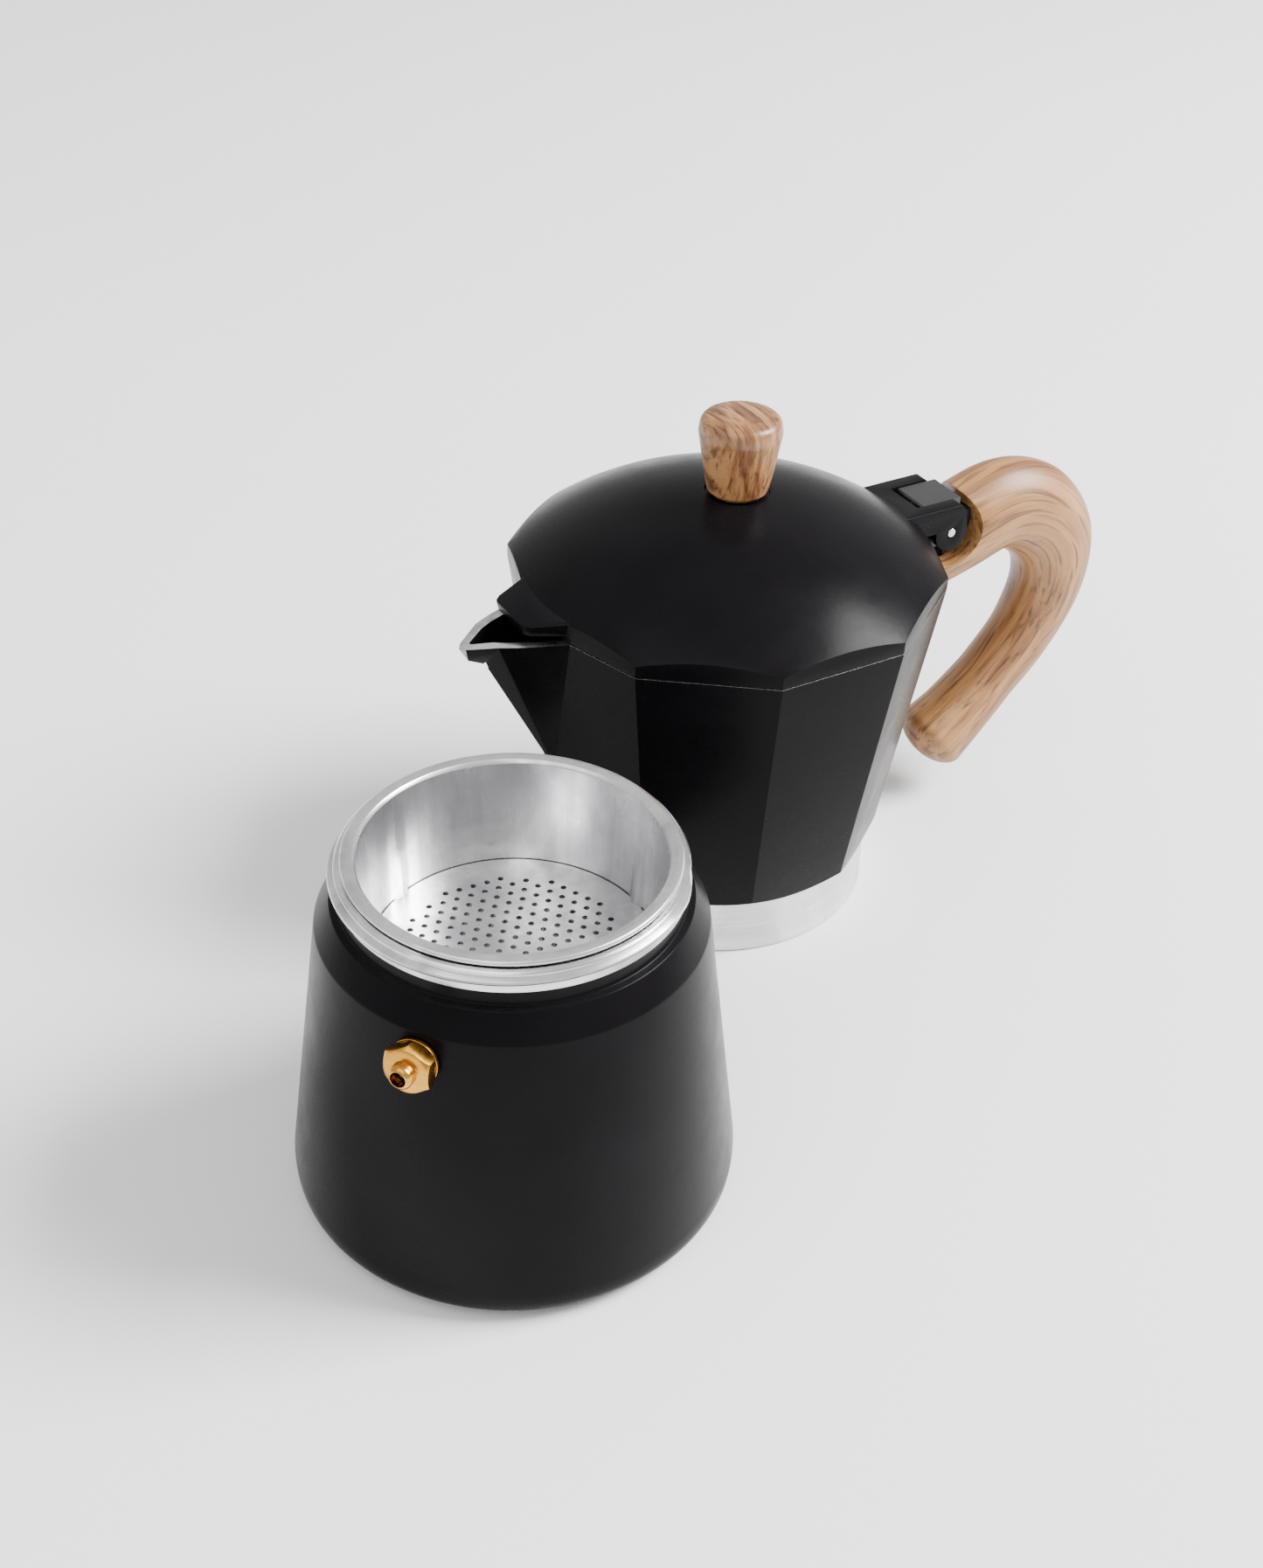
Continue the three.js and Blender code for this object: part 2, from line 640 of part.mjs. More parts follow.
function collectorBody() {
  const cornerFill = 4; // slope between the inner wall and the floor
  const facets = turned(
    [[0, RING_H], [bodyR(RING_H), RING_H], [RIM_R, RIM_Z], [0, RIM_Z]],
    FACETS,
  );
  const reach = RIM_Z;
  const undercut = turned([
    [0, RING_H],
    [RING_R, RING_H],
    [RING_R + reach / CONE_SLOPE, RING_H + reach],
    [0, RING_H + reach],
  ]);
  const inside = turned(
    [
      [0, FLOOR_Z],
      [bodyR(FLOOR_Z) - BODY_WALL - cornerFill, FLOOR_Z],
      [bodyR(FLOOR_Z + 5) - BODY_WALL, FLOOR_Z + 5],
      [bodyR(RIM_Z + 4) - BODY_WALL, RIM_Z + 4],
      [0, RIM_Z + 4],
    ],
    FACETS,
  );
  const foot = rod(RING_R, 0, RING_H + 2, ROUND);
  const lugRoot = bodyR(LUG_FOOT_Z) - BODY_WALL;
  const lugTop = BLOCK_FOOT_Z - GAP;
  const lug = box(lugRoot, LUG_END_X, -LUG_HALF, LUG_HALF, LUG_FOOT_Z, lugTop);
  const socket = turned([
    [0, -1],
    [MAJOR_R + 0.4, -1],
    [MAJOR_R + 0.4, 0],
    [MINOR_R, SOCKET_MOUTH],
    [MINOR_R, SEAT_Z - THREAD_END],
    [MAJOR_R, SEAT_Z - GROOVE_LOW],
    [MAJOR_R, SEAT_Z - GROOVE_HIGH],
    [POCKET_R, SEAT_Z - POCKET_LOW],
    [POCKET_R, SEAT_Z],
    [FILTER_R - SEAT_W, SEAT_Z],
    [FILTER_R - SEAT_W, SEAT_Z + DOME_START],
    [COLUMN_SOCKET_R + GAP, FLOOR_Z - THROAT_DROP],
    [COLUMN_SOCKET_R + GAP, FLOOR_Z + 1],
    [0, FLOOR_Z + 1],
  ]);
  const ridgeLow = NECK_Z - THREAD_RISE + THREAD_START - SCREWED_Z;
  const turnsBelow = Math.ceil((ridgeLow + 1.6) / THREAD_PITCH);
  const groove = thread(
    MINOR_R - GROOVE_SINK,
    MAJOR_R,
    GROOVE_HALF,
    ridgeLow - turnsBelow * THREAD_PITCH,
    turnsBelow + 1.1,
  );
  const screwHole = rod(SCREW_R + GAP, LUG_FOOT_Z - 5, BLOCK_FOOT_Z + 2);
  return facets
    .intersect(undercut)
    .add(spoutOutside())
    .add(foot)
    .add(lug)
    .subtract(inside)
    .subtract(spoutChannel())
    .subtract(socket)
    .subtract(groove)
    .subtract(screwHole.translate([HANDLE_SCREW_X, 0, 0]));
}

function coffeeColumn() {
  const flare = FLOOR_Z + GAP;
  return turned([
    [COLUMN_SOCKET_R - COLUMN_WALL, flare - COLUMN_TENON],
    [COLUMN_SOCKET_R, flare - COLUMN_TENON],
    [COLUMN_SOCKET_R, flare],
    [COLUMN_R + COLUMN_FLARE, flare],
    [COLUMN_R, flare + COLUMN_FLARE_H],
    [COLUMN_TOP_R, COLUMN_TOP_Z],
    [COLUMN_TOP_R - COLUMN_WALL, COLUMN_TOP_Z],
    [COLUMN_SOCKET_R - COLUMN_WALL, flare + COLUMN_FLARE_H],
  ], COLUMN_SIDES);
}

// The column's outside radius at a height.
const columnR = (z) => {
  const foot = FLOOR_Z + GAP + COLUMN_FLARE_H;
  return COLUMN_TOP_R + ((COLUMN_R - COLUMN_TOP_R) * (COLUMN_TOP_Z - z)) / (COLUMN_TOP_Z - foot);
};

// A domed cap over the column's mouth, with a slot right across for the coffee.
function columnCap() {
  const inner = COLUMN_TOP_R + GAP;
  const outer = inner + CAP_WALL;
  const low = COLUMN_TOP_Z - CAP_SKIRT;
  const high = COLUMN_TOP_Z + CAP_H;
  const shell = turned([
    [columnR(low) + GAP, low],
    [outer, low],
    [outer, high - 2],
    [outer - 1.8, high - 0.4],
    [0, high],
    [0, high - CAP_WALL],
    [inner - 1.4, high - CAP_WALL - 0.4],
    [inner, high - CAP_WALL - 1.6],
    [inner, COLUMN_TOP_Z],
  ], COLUMN_SIDES);
  const [slotLow, slotHigh] = [COLUMN_TOP_Z + 0.8, high - 3];
  return shell.subtract(
    box(-2 * outer, 2 * outer, -CAP_SLOT_HALF, CAP_SLOT_HALF, slotLow, slotHigh),
  );
}

const gasket = () => {
  const low = SEAT_Z - GAP - GASKET_T;
  const step = low + GASKET_T - FILTER_T - GAP;
  return turned([
    [FILTER_R - FILTER_LIP, low],
    [GASKET_R, low],
    [GASKET_R, low + GASKET_T],
    [FILTER_R + GAP, low + GASKET_T],
    [FILTER_R + GAP, step],
    [FILTER_R - FILTER_LIP, step],
  ]);
};

function filterPlate() {
  const high = SEAT_Z - GAP;
  return rod(FILTER_R, high - FILTER_T, high, ROUND).subtract(
    holeGrid(FILTER_R - FILTER_LIP - 1, high - FILTER_T - 1, high + 1),
  );
}

// ---------------------------------------------------------------- lid
function domeProfile(radius, reach, low) {
  const points = [[0, low], [reach, low]];
  const arcs = 7;
  for (let i = 0; i <= arcs; i++) {
    const r = reach * (1 - i / arcs);
    points.push([r, DOME_C + Math.sqrt(radius ** 2 - r ** 2)]);
  }
  return points;
}

function hingeFrame() {
  const top = PIN_Z + FRAME_TOP;
  const side = new THREE.Shape();
  side.moveTo(FRAME_ROOT_X - 6, top);
  side.lineTo(PIN_X + RAIL_END, top);
  side.lineTo(PIN_X + RAIL_NOSE, top - FRAME_CHAMFER);
  side.lineTo(PIN_X + EYE_R, PIN_Z);
  side.absarc(PIN_X, PIN_Z, EYE_R, 0, -Math.PI, true);
  side.lineTo(PIN_X - EYE_R, PIN_Z + 0.8);
  side.lineTo(FRAME_ROOT_X - 6, PIN_Z + 1.4);
  const width = new THREE.Shape();
  width.moveTo(-FRAME_HALF, PIN_Z - 20);
  width.lineTo(FRAME_HALF, PIN_Z - 20);
  width.lineTo(FRAME_HALF, top - FRAME_CHAMFER);
  width.lineTo(FRAME_HALF - FRAME_CHAMFER, top);
  width.lineTo(FRAME_CHAMFER - FRAME_HALF, top);
  width.lineTo(-FRAME_HALF, top - FRAME_CHAMFER);
  const across = solid(
    new THREE.ExtrudeGeometry(width, { depth: 60, bevelEnabled: false })
      .rotateX(Math.PI / 2)
      .rotateZ(Math.PI / 2),
  ).translate([FRAME_ROOT_X - 20, 0, 0]);
  return slab(side, FRAME_HALF, 10).intersect(across);
}

function lid() {
  const prism = rod(RIM_R, LID_Z, CROWN_Z + 5, FACETS);
  const dome = turned(domeProfile(DOME_R, RIM_R + 2, LID_Z));
  const innerR = bodyR(RIM_Z) - BODY_WALL - SLIDE;
  const lipLow = LID_Z - LIP_DEPTH;
  const lipRing = rod(innerR, lipLow, LID_Z + 1, FACETS);
  const hollowDome = turned(domeProfile(DOME_R - LID_WALL, RIM_R, lipLow - 1));
  const hollowPrism = rod(innerR - LID_WALL, lipLow - 1, CROWN_Z, FACETS);
  const high = LID_Z + TAB_TOP;
  const [rootX, rootY] = pastRim(TAB_ROOT);
  const tabOut = RIM_R + TAB_REACH;
  const pairs = (x, y, z) => [[-x, y, z], [-x, -y, z]];
  const tab = hull([
    ...pairs(tabOut, TAB_HALF - 1.5, high),
    ...pairs(tabOut - 1.5, TAB_HALF, high),
    ...pairs(tabOut - 0.6, TAB_HALF - 2, high - TAB_T),
    ...pairs(tabOut - 2, TAB_HALF - 0.6, high - TAB_T),
    ...pairs(rootX, rootY, high + 0.8),
    ...pairs(rootX, rootY - 0.6, high - TAB_T),
    ...pairs(rootX - 4, rootY - 1, LID_Z + 1),
    ...pairs(rootX - 4, rootY - 1, high + 0.8),
  ]);
  const outside = prism.intersect(dome).add(lipRing).add(tab);
  const inside = hollowDome.intersect(hollowPrism);
  const relief = crossBar(LID_RELIEF_R, PIN_X, PIN_Z, WINDOW_HALF, 32);
  const past = 2 * FRAME_HALF;
  const [windowLow, windowHigh] = [PIN_Z - past, PIN_Z + past];
  const window = box(PIN_X + WINDOW_START, PIN_X + past, -WINDOW_HALF, WINDOW_HALF, windowLow, windowHigh);
  const rimRoom = box(FRAME_ROOT_X - past, PIN_X - EYE_R, -past, past, LID_Z - 3, LID_Z);
  const frame = hingeFrame().subtract(rimRoom);
  const screwHole = rod(SCREW_R + GAP, CROWN_Z - 20, CROWN_Z + 5);
  const spot = rod(KNOB_LOW_R + SPOT_MARGIN, CROWN_Z - SPOT_DEPTH, CROWN_Z + 5, KNOB_SIDES);
  const pinHole = crossBar(PIN_R + GAP, PIN_X, PIN_Z, past);
  return outside
    .add(frame)
    .subtract(inside)
    .subtract(relief)
    .subtract(window)
    .subtract(screwHole.add(spot).translate([KNOB_X, 0, 0]))
    .subtract(pinHole);
}

const hingePin = () => crossBar(PIN_R, PIN_X, PIN_Z, FRAME_HALF + PIN_PROUD);

function hingeBlock() {
  const top = PIN_Z + FRAME_TOP - GAP;
  const rise = top - PIN_Z;
  const front = -BLOCK_FRONT;
  const start = Math.PI - Math.asin(rise / BLOCK_R);
  const end = Math.PI - Math.acos(Math.min(1, front / BLOCK_R));
  const shape = new THREE.Shape();
  shape.moveTo(BLOCK_BACK_X, top);
  shape.lineTo(PIN_X + BLOCK_R * Math.cos(start), top);
  shape.absarc(PIN_X, PIN_Z, BLOCK_R, start, Math.max(start + 0.02, end), false);
  shape.lineTo(PIN_X + BLOCK_FRONT, BLOCK_FOOT_Z);
  shape.lineTo(BLOCK_BACK_X, BLOCK_FOOT_Z);
  const root = BLOCK_BACK_X - 2;
  const tenon = box(root, TENON_END_X, -TENON_HALF, TENON_HALF, BLOCK_FOOT_Z, TENON_TOP_Z);
  const screwHole = rod(SCREW_R + GAP, 0, SCREW_TOP_Z + GAP);
  return slab(shape, WINDOW_HALF - GAP, 4)
    .add(tenon)
    .subtract(crossBar(PIN_R + GAP, PIN_X, PIN_Z, 2 * WINDOW_HALF))
    .subtract(screwHole.translate([HANDLE_SCREW_X, 0, 0]));
}

// ---------------------------------------------------------------- knob
const KNOB_Z = CROWN_Z - SPOT_DEPTH + GAP;

function knob() {
  const high = KNOB_Z + KNOB_H;
  const profile = [[0, KNOB_Z], [KNOB_LOW_R - 1.2, KNOB_Z], [KNOB_LOW_R, KNOB_Z + 1.2]];
  const flank = high - 2 * KNOB_ROUND;
  profile.push([KNOB_LOW_R + (KNOB_HIGH_R - KNOB_LOW_R) * 0.43, KNOB_Z + KNOB_H / 3]);
  profile.push([KNOB_HIGH_R, flank]);
  for (let i = 1; i <= 4; i++) {
    const a = (i / 4) * (Math.PI / 2);
    profile.push([
      KNOB_HIGH_R - KNOB_ROUND + KNOB_ROUND * Math.cos(a),
      flank + 1.5 * KNOB_ROUND * Math.sin(a),
    ]);
  }
  profile.push([KNOB_HIGH_R / 2, high - 0.3], [0, high]);
  const bore = rod(SCREW_R + GAP, KNOB_Z - 1, KNOB_Z + KNOB_SCREW_IN + GAP);
  return turned(profile, KNOB_SIDES).subtract(bore).translate([KNOB_X, 0, 0]);
}

const UNDER_CROWN = CROWN_Z - LID_WALL;

const KNOB_WASHER_TOP = UNDER_CROWN - SLIDE - GAP;

const knobWasher = () =>
  ring(SCREW_R + GAP, KNOB_WASHER_R, KNOB_WASHER_TOP - KNOB_WASHER_T, KNOB_WASHER_TOP, SMALL)
    .translate([KNOB_X, 0, 0]);

function knobScrew() {
  const head = KNOB_WASHER_TOP - KNOB_WASHER_T - GAP;
  const foot = head - KNOB_HEAD_H;
  const slot = box(-5, 5, -0.5, 0.5, foot - 1, foot + 0.8);
  return turned([
    [0, foot],
    [KNOB_HEAD_R - 0.9, foot],
    [KNOB_HEAD_R, foot + 1],
    [KNOB_HEAD_R, head],
    [SCREW_R, head],
    [SCREW_R, KNOB_Z + KNOB_SCREW_IN],
    [0, KNOB_Z + KNOB_SCREW_IN],
  ], SMALL).subtract(slot).translate([KNOB_X, 0, 0]);
}

// ---------------------------------------------------------------- handle
// Oval rings along the grip, and four smaller ones that round its lower end.
function gripRings() {
  const stretch = (PIN_Z - HANDLE_FOOT_Z) / HANDLE_PATH.at(-1)[1];
  const points = HANDLE_PATH.map(
    ([out, down]) => new THREE.Vector3(PIN_X + out, 0, PIN_Z - down * stretch),
  );
  const path = new THREE.CatmullRomCurve3(points);
  const sizeAt = (t) => {
    const place = t * (HANDLE_PATH.length - 1);
    const i = Math.min(Math.floor(place), HANDLE_PATH.length - 2);
    const mix = (k) => THREE.MathUtils.lerp(HANDLE_PATH[i][k], HANDLE_PATH[i + 1][k], place - i);
    return [mix(2), mix(3)];
  };
  const ringAt = (t, scale, push) => {
    const at = path.getPoint(t);
    const along = path.getTangent(t);
    const up = new THREE.Vector3(-along.z, 0, along.x);
    const [tall, wide] = sizeAt(t).map((size) => size * scale);
    const section = [];
    for (let j = 0; j < HANDLE_SIDES; j++) {
      const a = (j / HANDLE_SIDES) * 2 * Math.PI;
      const point = at.clone().addScaledVector(along, push).addScaledVector(up, tall * Math.cos(a));
      section.push(point.add(new THREE.Vector3(0, wide * Math.sin(a), 0)));
    }
    return section;
  };
  const rings = [];
  for (let i = 0; i <= HANDLE_STEPS; i++) rings.push(ringAt(i / HANDLE_STEPS, 1, 0));
  for (let i = 1; i <= 4; i++) {
    const a = (i / 4) * (Math.PI / 2) * 0.92;
    rings.push(ringAt(1, Math.cos(a), HANDLE_END * Math.sin(a)));
  }
  return rings;
}

// Everything that the wood leaves free: the facets, the hinge, the block, the lug and the screw.
function gripRoom() {
  const high = RIM_Z + 30;
  const near = GAP + 0.1;
  const facets = turned(
    [[0, 0], [bodyR(0) + near, 0], [bodyR(high) + near, high], [0, high]],
    FACETS,
  );
  const side = 2 * FRAME_HALF;
  const hinge = crossBar(HANDLE_RECESS_R, PIN_X, PIN_Z, side, 32)
    .add(box(PIN_X - side, PIN_X, -side, side, PIN_Z + WOOD_LIP, high))
    .add(box(PIN_X - 1, PIN_X + RAIL_NOSE + GAP, -side, side, PIN_Z, high));
  const low = BLOCK_FOOT_Z - GAP;
  const tenonHalf = TENON_HALF + GAP;
  const block = box(PIN_X - side, BLOCK_BACK_X + GAP, -WINDOW_HALF, WINDOW_HALF, low, high);
  const tenon = box(PIN_X, TENON_END_X + GAP, -tenonHalf, tenonHalf, low, TENON_TOP_Z + GAP);
  const lugHalf = LUG_HALF + GAP;
  const lug = box(PIN_X - side, LUG_END_X + GAP, -lugHalf, lugHalf, LUG_FOOT_Z - GAP, BLOCK_FOOT_Z);
  const shank = rod(SCREW_R + GAP, 0, LUG_FOOT_Z);
  const head = rod(SCREW_HEAD_R + GAP, 0, LUG_FOOT_Z - GAP - SCREW_SINK, SMALL);
  const screw = shank.add(head).translate([HANDLE_SCREW_X, 0, 0]);
  return facets.add(hinge).add(block).add(tenon).add(lug).add(screw);
}

const handle = () => loft(gripRings()).subtract(gripRoom());

const WASHER_TOP = LUG_FOOT_Z - 2 * GAP - SCREW_SINK;

const handleWasher = () =>
  ring(SCREW_R + GAP, SCREW_HEAD_R, WASHER_TOP - WASHER_T, WASHER_TOP, SMALL)
    .translate([HANDLE_SCREW_X, 0, 0]);

function handleScrew() {
  const head = WASHER_TOP - WASHER_T - GAP;
  const foot = head - SCREW_HEAD_H;
  return turned([
    [0, foot],
    [SCREW_HEAD_R - 0.8, foot],
    [SCREW_HEAD_R, foot + 0.9],
    [SCREW_HEAD_R, head],
    [SCREW_R, head],
    [SCREW_R, SCREW_TOP_Z],
    [0, SCREW_TOP_Z],
  ], SMALL).translate([HANDLE_SCREW_X, 0, 0]);
}

// ---------------------------------------------------------------- assembly
const boiler = new THREE.Group();
boiler.add(
  node("boiler_shell", boilerShell(), BLACK_PAINT),
  node("valve_body", valveBody(), BRASS),
  node("valve_washer", valveWasher(), BRASS),
  node("valve_seat", valveSeat(), BRASS),
  node("valve_pin", valvePin(), STEEL),
  node("valve_spring", valveSpring(), STEEL),
);

const funnel = new THREE.Group();
funnel.add(
  node("funnel_bowl", funnelBowl(), BARE_ALUMINIUM),
  node("funnel_tube", funnelTube(), BARE_ALUMINIUM),
  node("funnel_plate", funnelPlate(), BARE_ALUMINIUM),
);

const collector = new THREE.Group();
collector.add(
  node("collector_body", collectorBody(), BLACK_PAINT),
  node("coffee_column", coffeeColumn(), BARE_ALUMINIUM),
  node("column_cap", columnCap(), BARE_ALUMINIUM),
  node("gasket", gasket(), SILICONE),
  node("filter_plate", filterPlate(), BARE_ALUMINIUM),
  node("hinge_block", hingeBlock(), BLACK_PLASTIC),
  node("hinge_pin", hingePin(), STEEL),
  node("handle", handle(), WOOD),
  node("handle_washer", handleWasher(), STEEL),
  node("handle_screw", handleScrew(), STEEL),
);

const lidGroup = new THREE.Group();
lidGroup.add(
  node("lid", lid(), BLACK_PAINT),
  node("lid_knob", knob(), WOOD),
  node("knob_washer", knobWasher(), STEEL),
  node("knob_screw", knobScrew(), STEEL),
);
collector.add(lidGroup);
collector.position.set(COLLECTOR_X, COLLECTOR_Y, 0);

const pot = new THREE.Group();
pot.add(boiler, funnel, collector);

export default pot;
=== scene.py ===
"""A stovetop coffee pot taken apart on a table, with fine surfaces and finishes round its frame.

Sizes in the classes are millimetres. The boiler's pieces stand round the origin, and the
collector's pieces are made round its own axis and then moved to where it stands.
"""
import logging
import math
from collections.abc import Callable, Sequence
from dataclasses import dataclass, field
from enum import Enum

import bmesh
import bpy
from bmesh.types import BMesh, BMFace
from mathutils import Matrix, Vector


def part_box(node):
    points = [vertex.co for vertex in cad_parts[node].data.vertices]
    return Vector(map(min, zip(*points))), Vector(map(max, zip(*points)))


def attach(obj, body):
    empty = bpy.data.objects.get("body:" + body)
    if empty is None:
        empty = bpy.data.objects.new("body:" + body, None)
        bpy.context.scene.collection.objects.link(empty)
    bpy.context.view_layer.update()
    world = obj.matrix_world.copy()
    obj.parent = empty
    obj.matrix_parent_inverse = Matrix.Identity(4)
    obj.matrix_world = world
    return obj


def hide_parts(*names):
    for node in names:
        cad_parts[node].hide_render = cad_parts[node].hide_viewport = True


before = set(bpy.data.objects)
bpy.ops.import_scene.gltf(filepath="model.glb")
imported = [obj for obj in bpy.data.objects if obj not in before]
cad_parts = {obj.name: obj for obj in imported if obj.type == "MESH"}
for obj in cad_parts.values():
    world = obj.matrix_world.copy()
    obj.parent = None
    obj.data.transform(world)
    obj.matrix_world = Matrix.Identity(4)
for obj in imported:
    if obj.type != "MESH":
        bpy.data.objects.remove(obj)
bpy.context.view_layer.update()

LOG = logging.getLogger("moka_pot")
MM = 0.001
GAP = 0.3  # clearance between pieces that touch
SLIDE = 0.5  # clearance between pieces that slide or turn
FINE = 128  # sides of a large turned piece
SMALL = 48  # sides of a small turned piece

Corner = tuple[float, ...]
Colour = tuple[float, float, float]


class Body(Enum):
    """The moving bodies of the frame."""

    BOILER = "boiler"
    PLUNGER = "valve_plunger"
    FUNNEL = "funnel"
    COLLECTOR = "collector"
    LID = "lid"


class Slot(Enum):
    """The material slots of the record."""

    PAINT = "black_paint"
    ALUMINIUM = "bare_aluminium"
    BRASS = "valve_brass"
    WOOD = "wood"
    PLASTIC = "black_plastic"
    STEEL = "steel"
    SILICONE = "silicone"


class Join(Enum):
    """How a tool shape meets the shape that it works on."""

    ADD = "UNION"
    CUT = "DIFFERENCE"


# ---------------------------------------------------------------- shapes


def rounded(corners: Sequence[Corner], steps: int = 5) -> list[tuple[float, float]]:
    """Rounds an outline's corners.

    Args:
        corners: (radius, height) or (radius, height, fillet radius) of each corner in turn.
        steps: segments of each fillet.

    Returns:
        The outline's points, with an arc at each corner that has a fillet.
    """
    points: list[tuple[float, float]] = []
    last = len(corners) - 1
    for i, corner in enumerate(corners):
        here = Vector(corner[:2])
        if len(corner) < 3 or i in (0, last):
            points.append((here.x, here.y))
            continue
        back = Vector(corners[i - 1][:2]) - here
        ahead = Vector(corners[i + 1][:2]) - here
        half = back.angle(ahead) / 2
        reach = min(corner[2] / math.tan(half), 0.48 * back.length, 0.48 * ahead.length)
        radius = reach * math.tan(half)
        middle = (back.normalized() + ahead.normalized()).normalized()
        centre = here + middle * (radius / math.sin(half))
        start = here + back.normalized() * reach - centre
        turn = (here + ahead.normalized() * reach - centre).angle_signed(start)
        for k in range(steps + 1):
            arm = start.copy()
            arm.rotate(Matrix.Rotation(turn * k / steps, 2))
            points.append(((centre + arm).x, (centre + arm).y))
    return points


def clean(bm: BMesh) -> BMesh:
    """Merges doubles, drops what has no area and turns the faces out, and returns the shape."""
    bmesh.ops.remove_doubles(bm, verts=bm.verts, dist=2e-7)
    bmesh.ops.dissolve_degenerate(bm, dist=2e-7, edges=bm.edges)
    bmesh.ops.recalc_face_normals(bm, faces=bm.faces)
    return bm


def turned(outline: Sequence[tuple[float, float]], sides: int = FINE, closed: bool = False) -> BMesh:
    """Spins an outline about Z.

    Args:
        outline: (radius, height) of each point.
        sides: segments of the full turn.
        closed: whether the outline's end joins its start, as on a ring.

    Returns:
        The closed shape.
    """
    bm = bmesh.new()
    verts = [bm.verts.new((r * MM, 0, z * MM)) for r, z in outline]
    edges = [bm.edges.new(pair) for pair in zip(verts, verts[1:])]
    if closed:
        edges.append(bm.edges.new((verts[-1], verts[0])))
    bmesh.ops.spin(
        bm, geom=verts + edges, cent=(0, 0, 0), axis=(0, 0, 1), dvec=(0, 0, 0),
        angle=math.tau, steps=sides, use_merge=True, use_duplicate=False,
    )
    return clean(bm)


def disc(r: float, low: float, high: float, sides: int = SMALL, edge: float = 0.0) -> BMesh:
    """A round bar on Z from low to high, with rounded rims of the given radius."""
    return turned(rounded([(0, low), (r, low, edge + 1e-3), (r, high, edge + 1e-3), (0, high)]), sides)


def washer(inner: float, outer: float, low: float, high: float, edge: float = 0.15) -> BMesh:
    """A flat ring on Z with rounded outer rims."""
    mid = (inner + outer) / 2
    corners = [(mid, low), (outer, low, edge), (outer, high, edge), (inner, high, edge), (inner, low, edge)]
    return turned(rounded([*corners, (mid, low)])[:-1], SMALL, closed=True)


def slab(x: tuple[float, float], y: tuple[float, float], z: tuple[float, float]) -> BMesh:
    """A box between the given limits."""
    bm = bmesh.new()
    bmesh.ops.create_cube(bm, size=1)
    size = Vector((x[1] - x[0], y[1] - y[0], z[1] - z[0])) * MM
    centre = Vector((x[0] + x[1], y[0] + y[1], z[0] + z[1])) * (MM / 2)
    bmesh.ops.transform(bm, matrix=Matrix.Translation(centre) @ Matrix.Diagonal((*size, 1)), verts=bm.verts)
    return bm


def moved(bm: BMesh, matrix: Matrix) -> BMesh:
    """Moves a shape in place and returns it."""
    bmesh.ops.transform(bm, matrix=matrix, verts=bm.verts)
    return bm


def shifted(bm: BMesh, x: float = 0, y: float = 0, z: float = 0) -> BMesh:
    """Moves a shape by millimetres and returns it."""
    return moved(bm, Matrix.Translation(Vector((x, y, z)) * MM))


def cross_bar(r: float, x: float, z: float, half: float, edge: float = 0.0, sides: int = SMALL) -> BMesh:
    """A round bar along Y through (x, z)."""
    bm = disc(r, -half, half, sides, edge)
    return moved(bm, Matrix.Translation(Vector((x, 0, z)) * MM) @ Matrix.Rotation(math.pi / 2, 4, "X"))


def hull(points: Sequence[tuple[float, float, float]]) -> BMesh:
    """The convex shape round some points."""
    bm = bmesh.new()
    verts = [bm.verts.new(Vector(p) * MM) for p in points]
    bmesh.ops.convex_hull(bm, input=verts)
    loose = [v for v in bm.verts if not v.link_faces]
    bmesh.ops.delete(bm, geom=loose, context="VERTS")
    return clean(bm)


def extruded(outline: Sequence[tuple[float, float]], half: float) -> BMesh:
    """A side outline in X and Z made 2 * half thick about the plane Y = 0."""
    bm = bmesh.new()
    verts = [bm.verts.new((x * MM, -half * MM, z * MM)) for x, z in outline]
    face = bm.faces.new(verts)
    grown = bmesh.ops.extrude_face_region(bm, geom=[face])["geom"]
    new = [v for v in grown if isinstance(v, bmesh.types.BMVert)]
    bmesh.ops.translate(bm, vec=(0, 2 * half * MM, 0), verts=new)
    bmesh.ops.recalc_face_normals(bm, faces=bm.faces)
    return bm


def facet_cut(bm: BMesh, corner_r: float, z: float, run: float, count: int = 10) -> BMesh:
    """Slices flats round a turned shape.

    Args:
        bm: the shape, about Z.
        corner_r: radius of the flats' corners at height z.
        z: that height.
        run: how much the corner radius grows for each millimetre up.
        count: number of flats, with a corner on +X.

    Returns:
        The same shape, cut and closed.
    """
    across = math.cos(math.pi / count)
    for i in range(count):
        a = (i + 0.5) * math.tau / count
        out = Vector((math.cos(a), math.sin(a), 0))
        cut = bmesh.ops.bisect_plane(
            bm, geom=bm.verts[:] + bm.edges[:] + bm.faces[:], dist=1e-7,
            plane_co=(out * corner_r * across + Vector((0, 0, z))) * MM,
            plane_no=(out - Vector((0, 0, run * across))).normalized(), clear_outer=True,
        )
        edges = [e for e in cut["geom_cut"] if isinstance(e, bmesh.types.BMEdge)]
        bmesh.ops.holes_fill(bm, edges=edges, sides=0)
    return clean(bm)


def as_object(name: str, bm: BMesh) -> bpy.types.Object:
    """Puts a shape into the scene as an object and frees it."""
    mesh = bpy.data.meshes.new(name)
    bm.to_mesh(mesh)
    bm.free()
    thing = bpy.data.objects.new(name, mesh)
    bpy.context.scene.collection.objects.link(thing)
    return thing


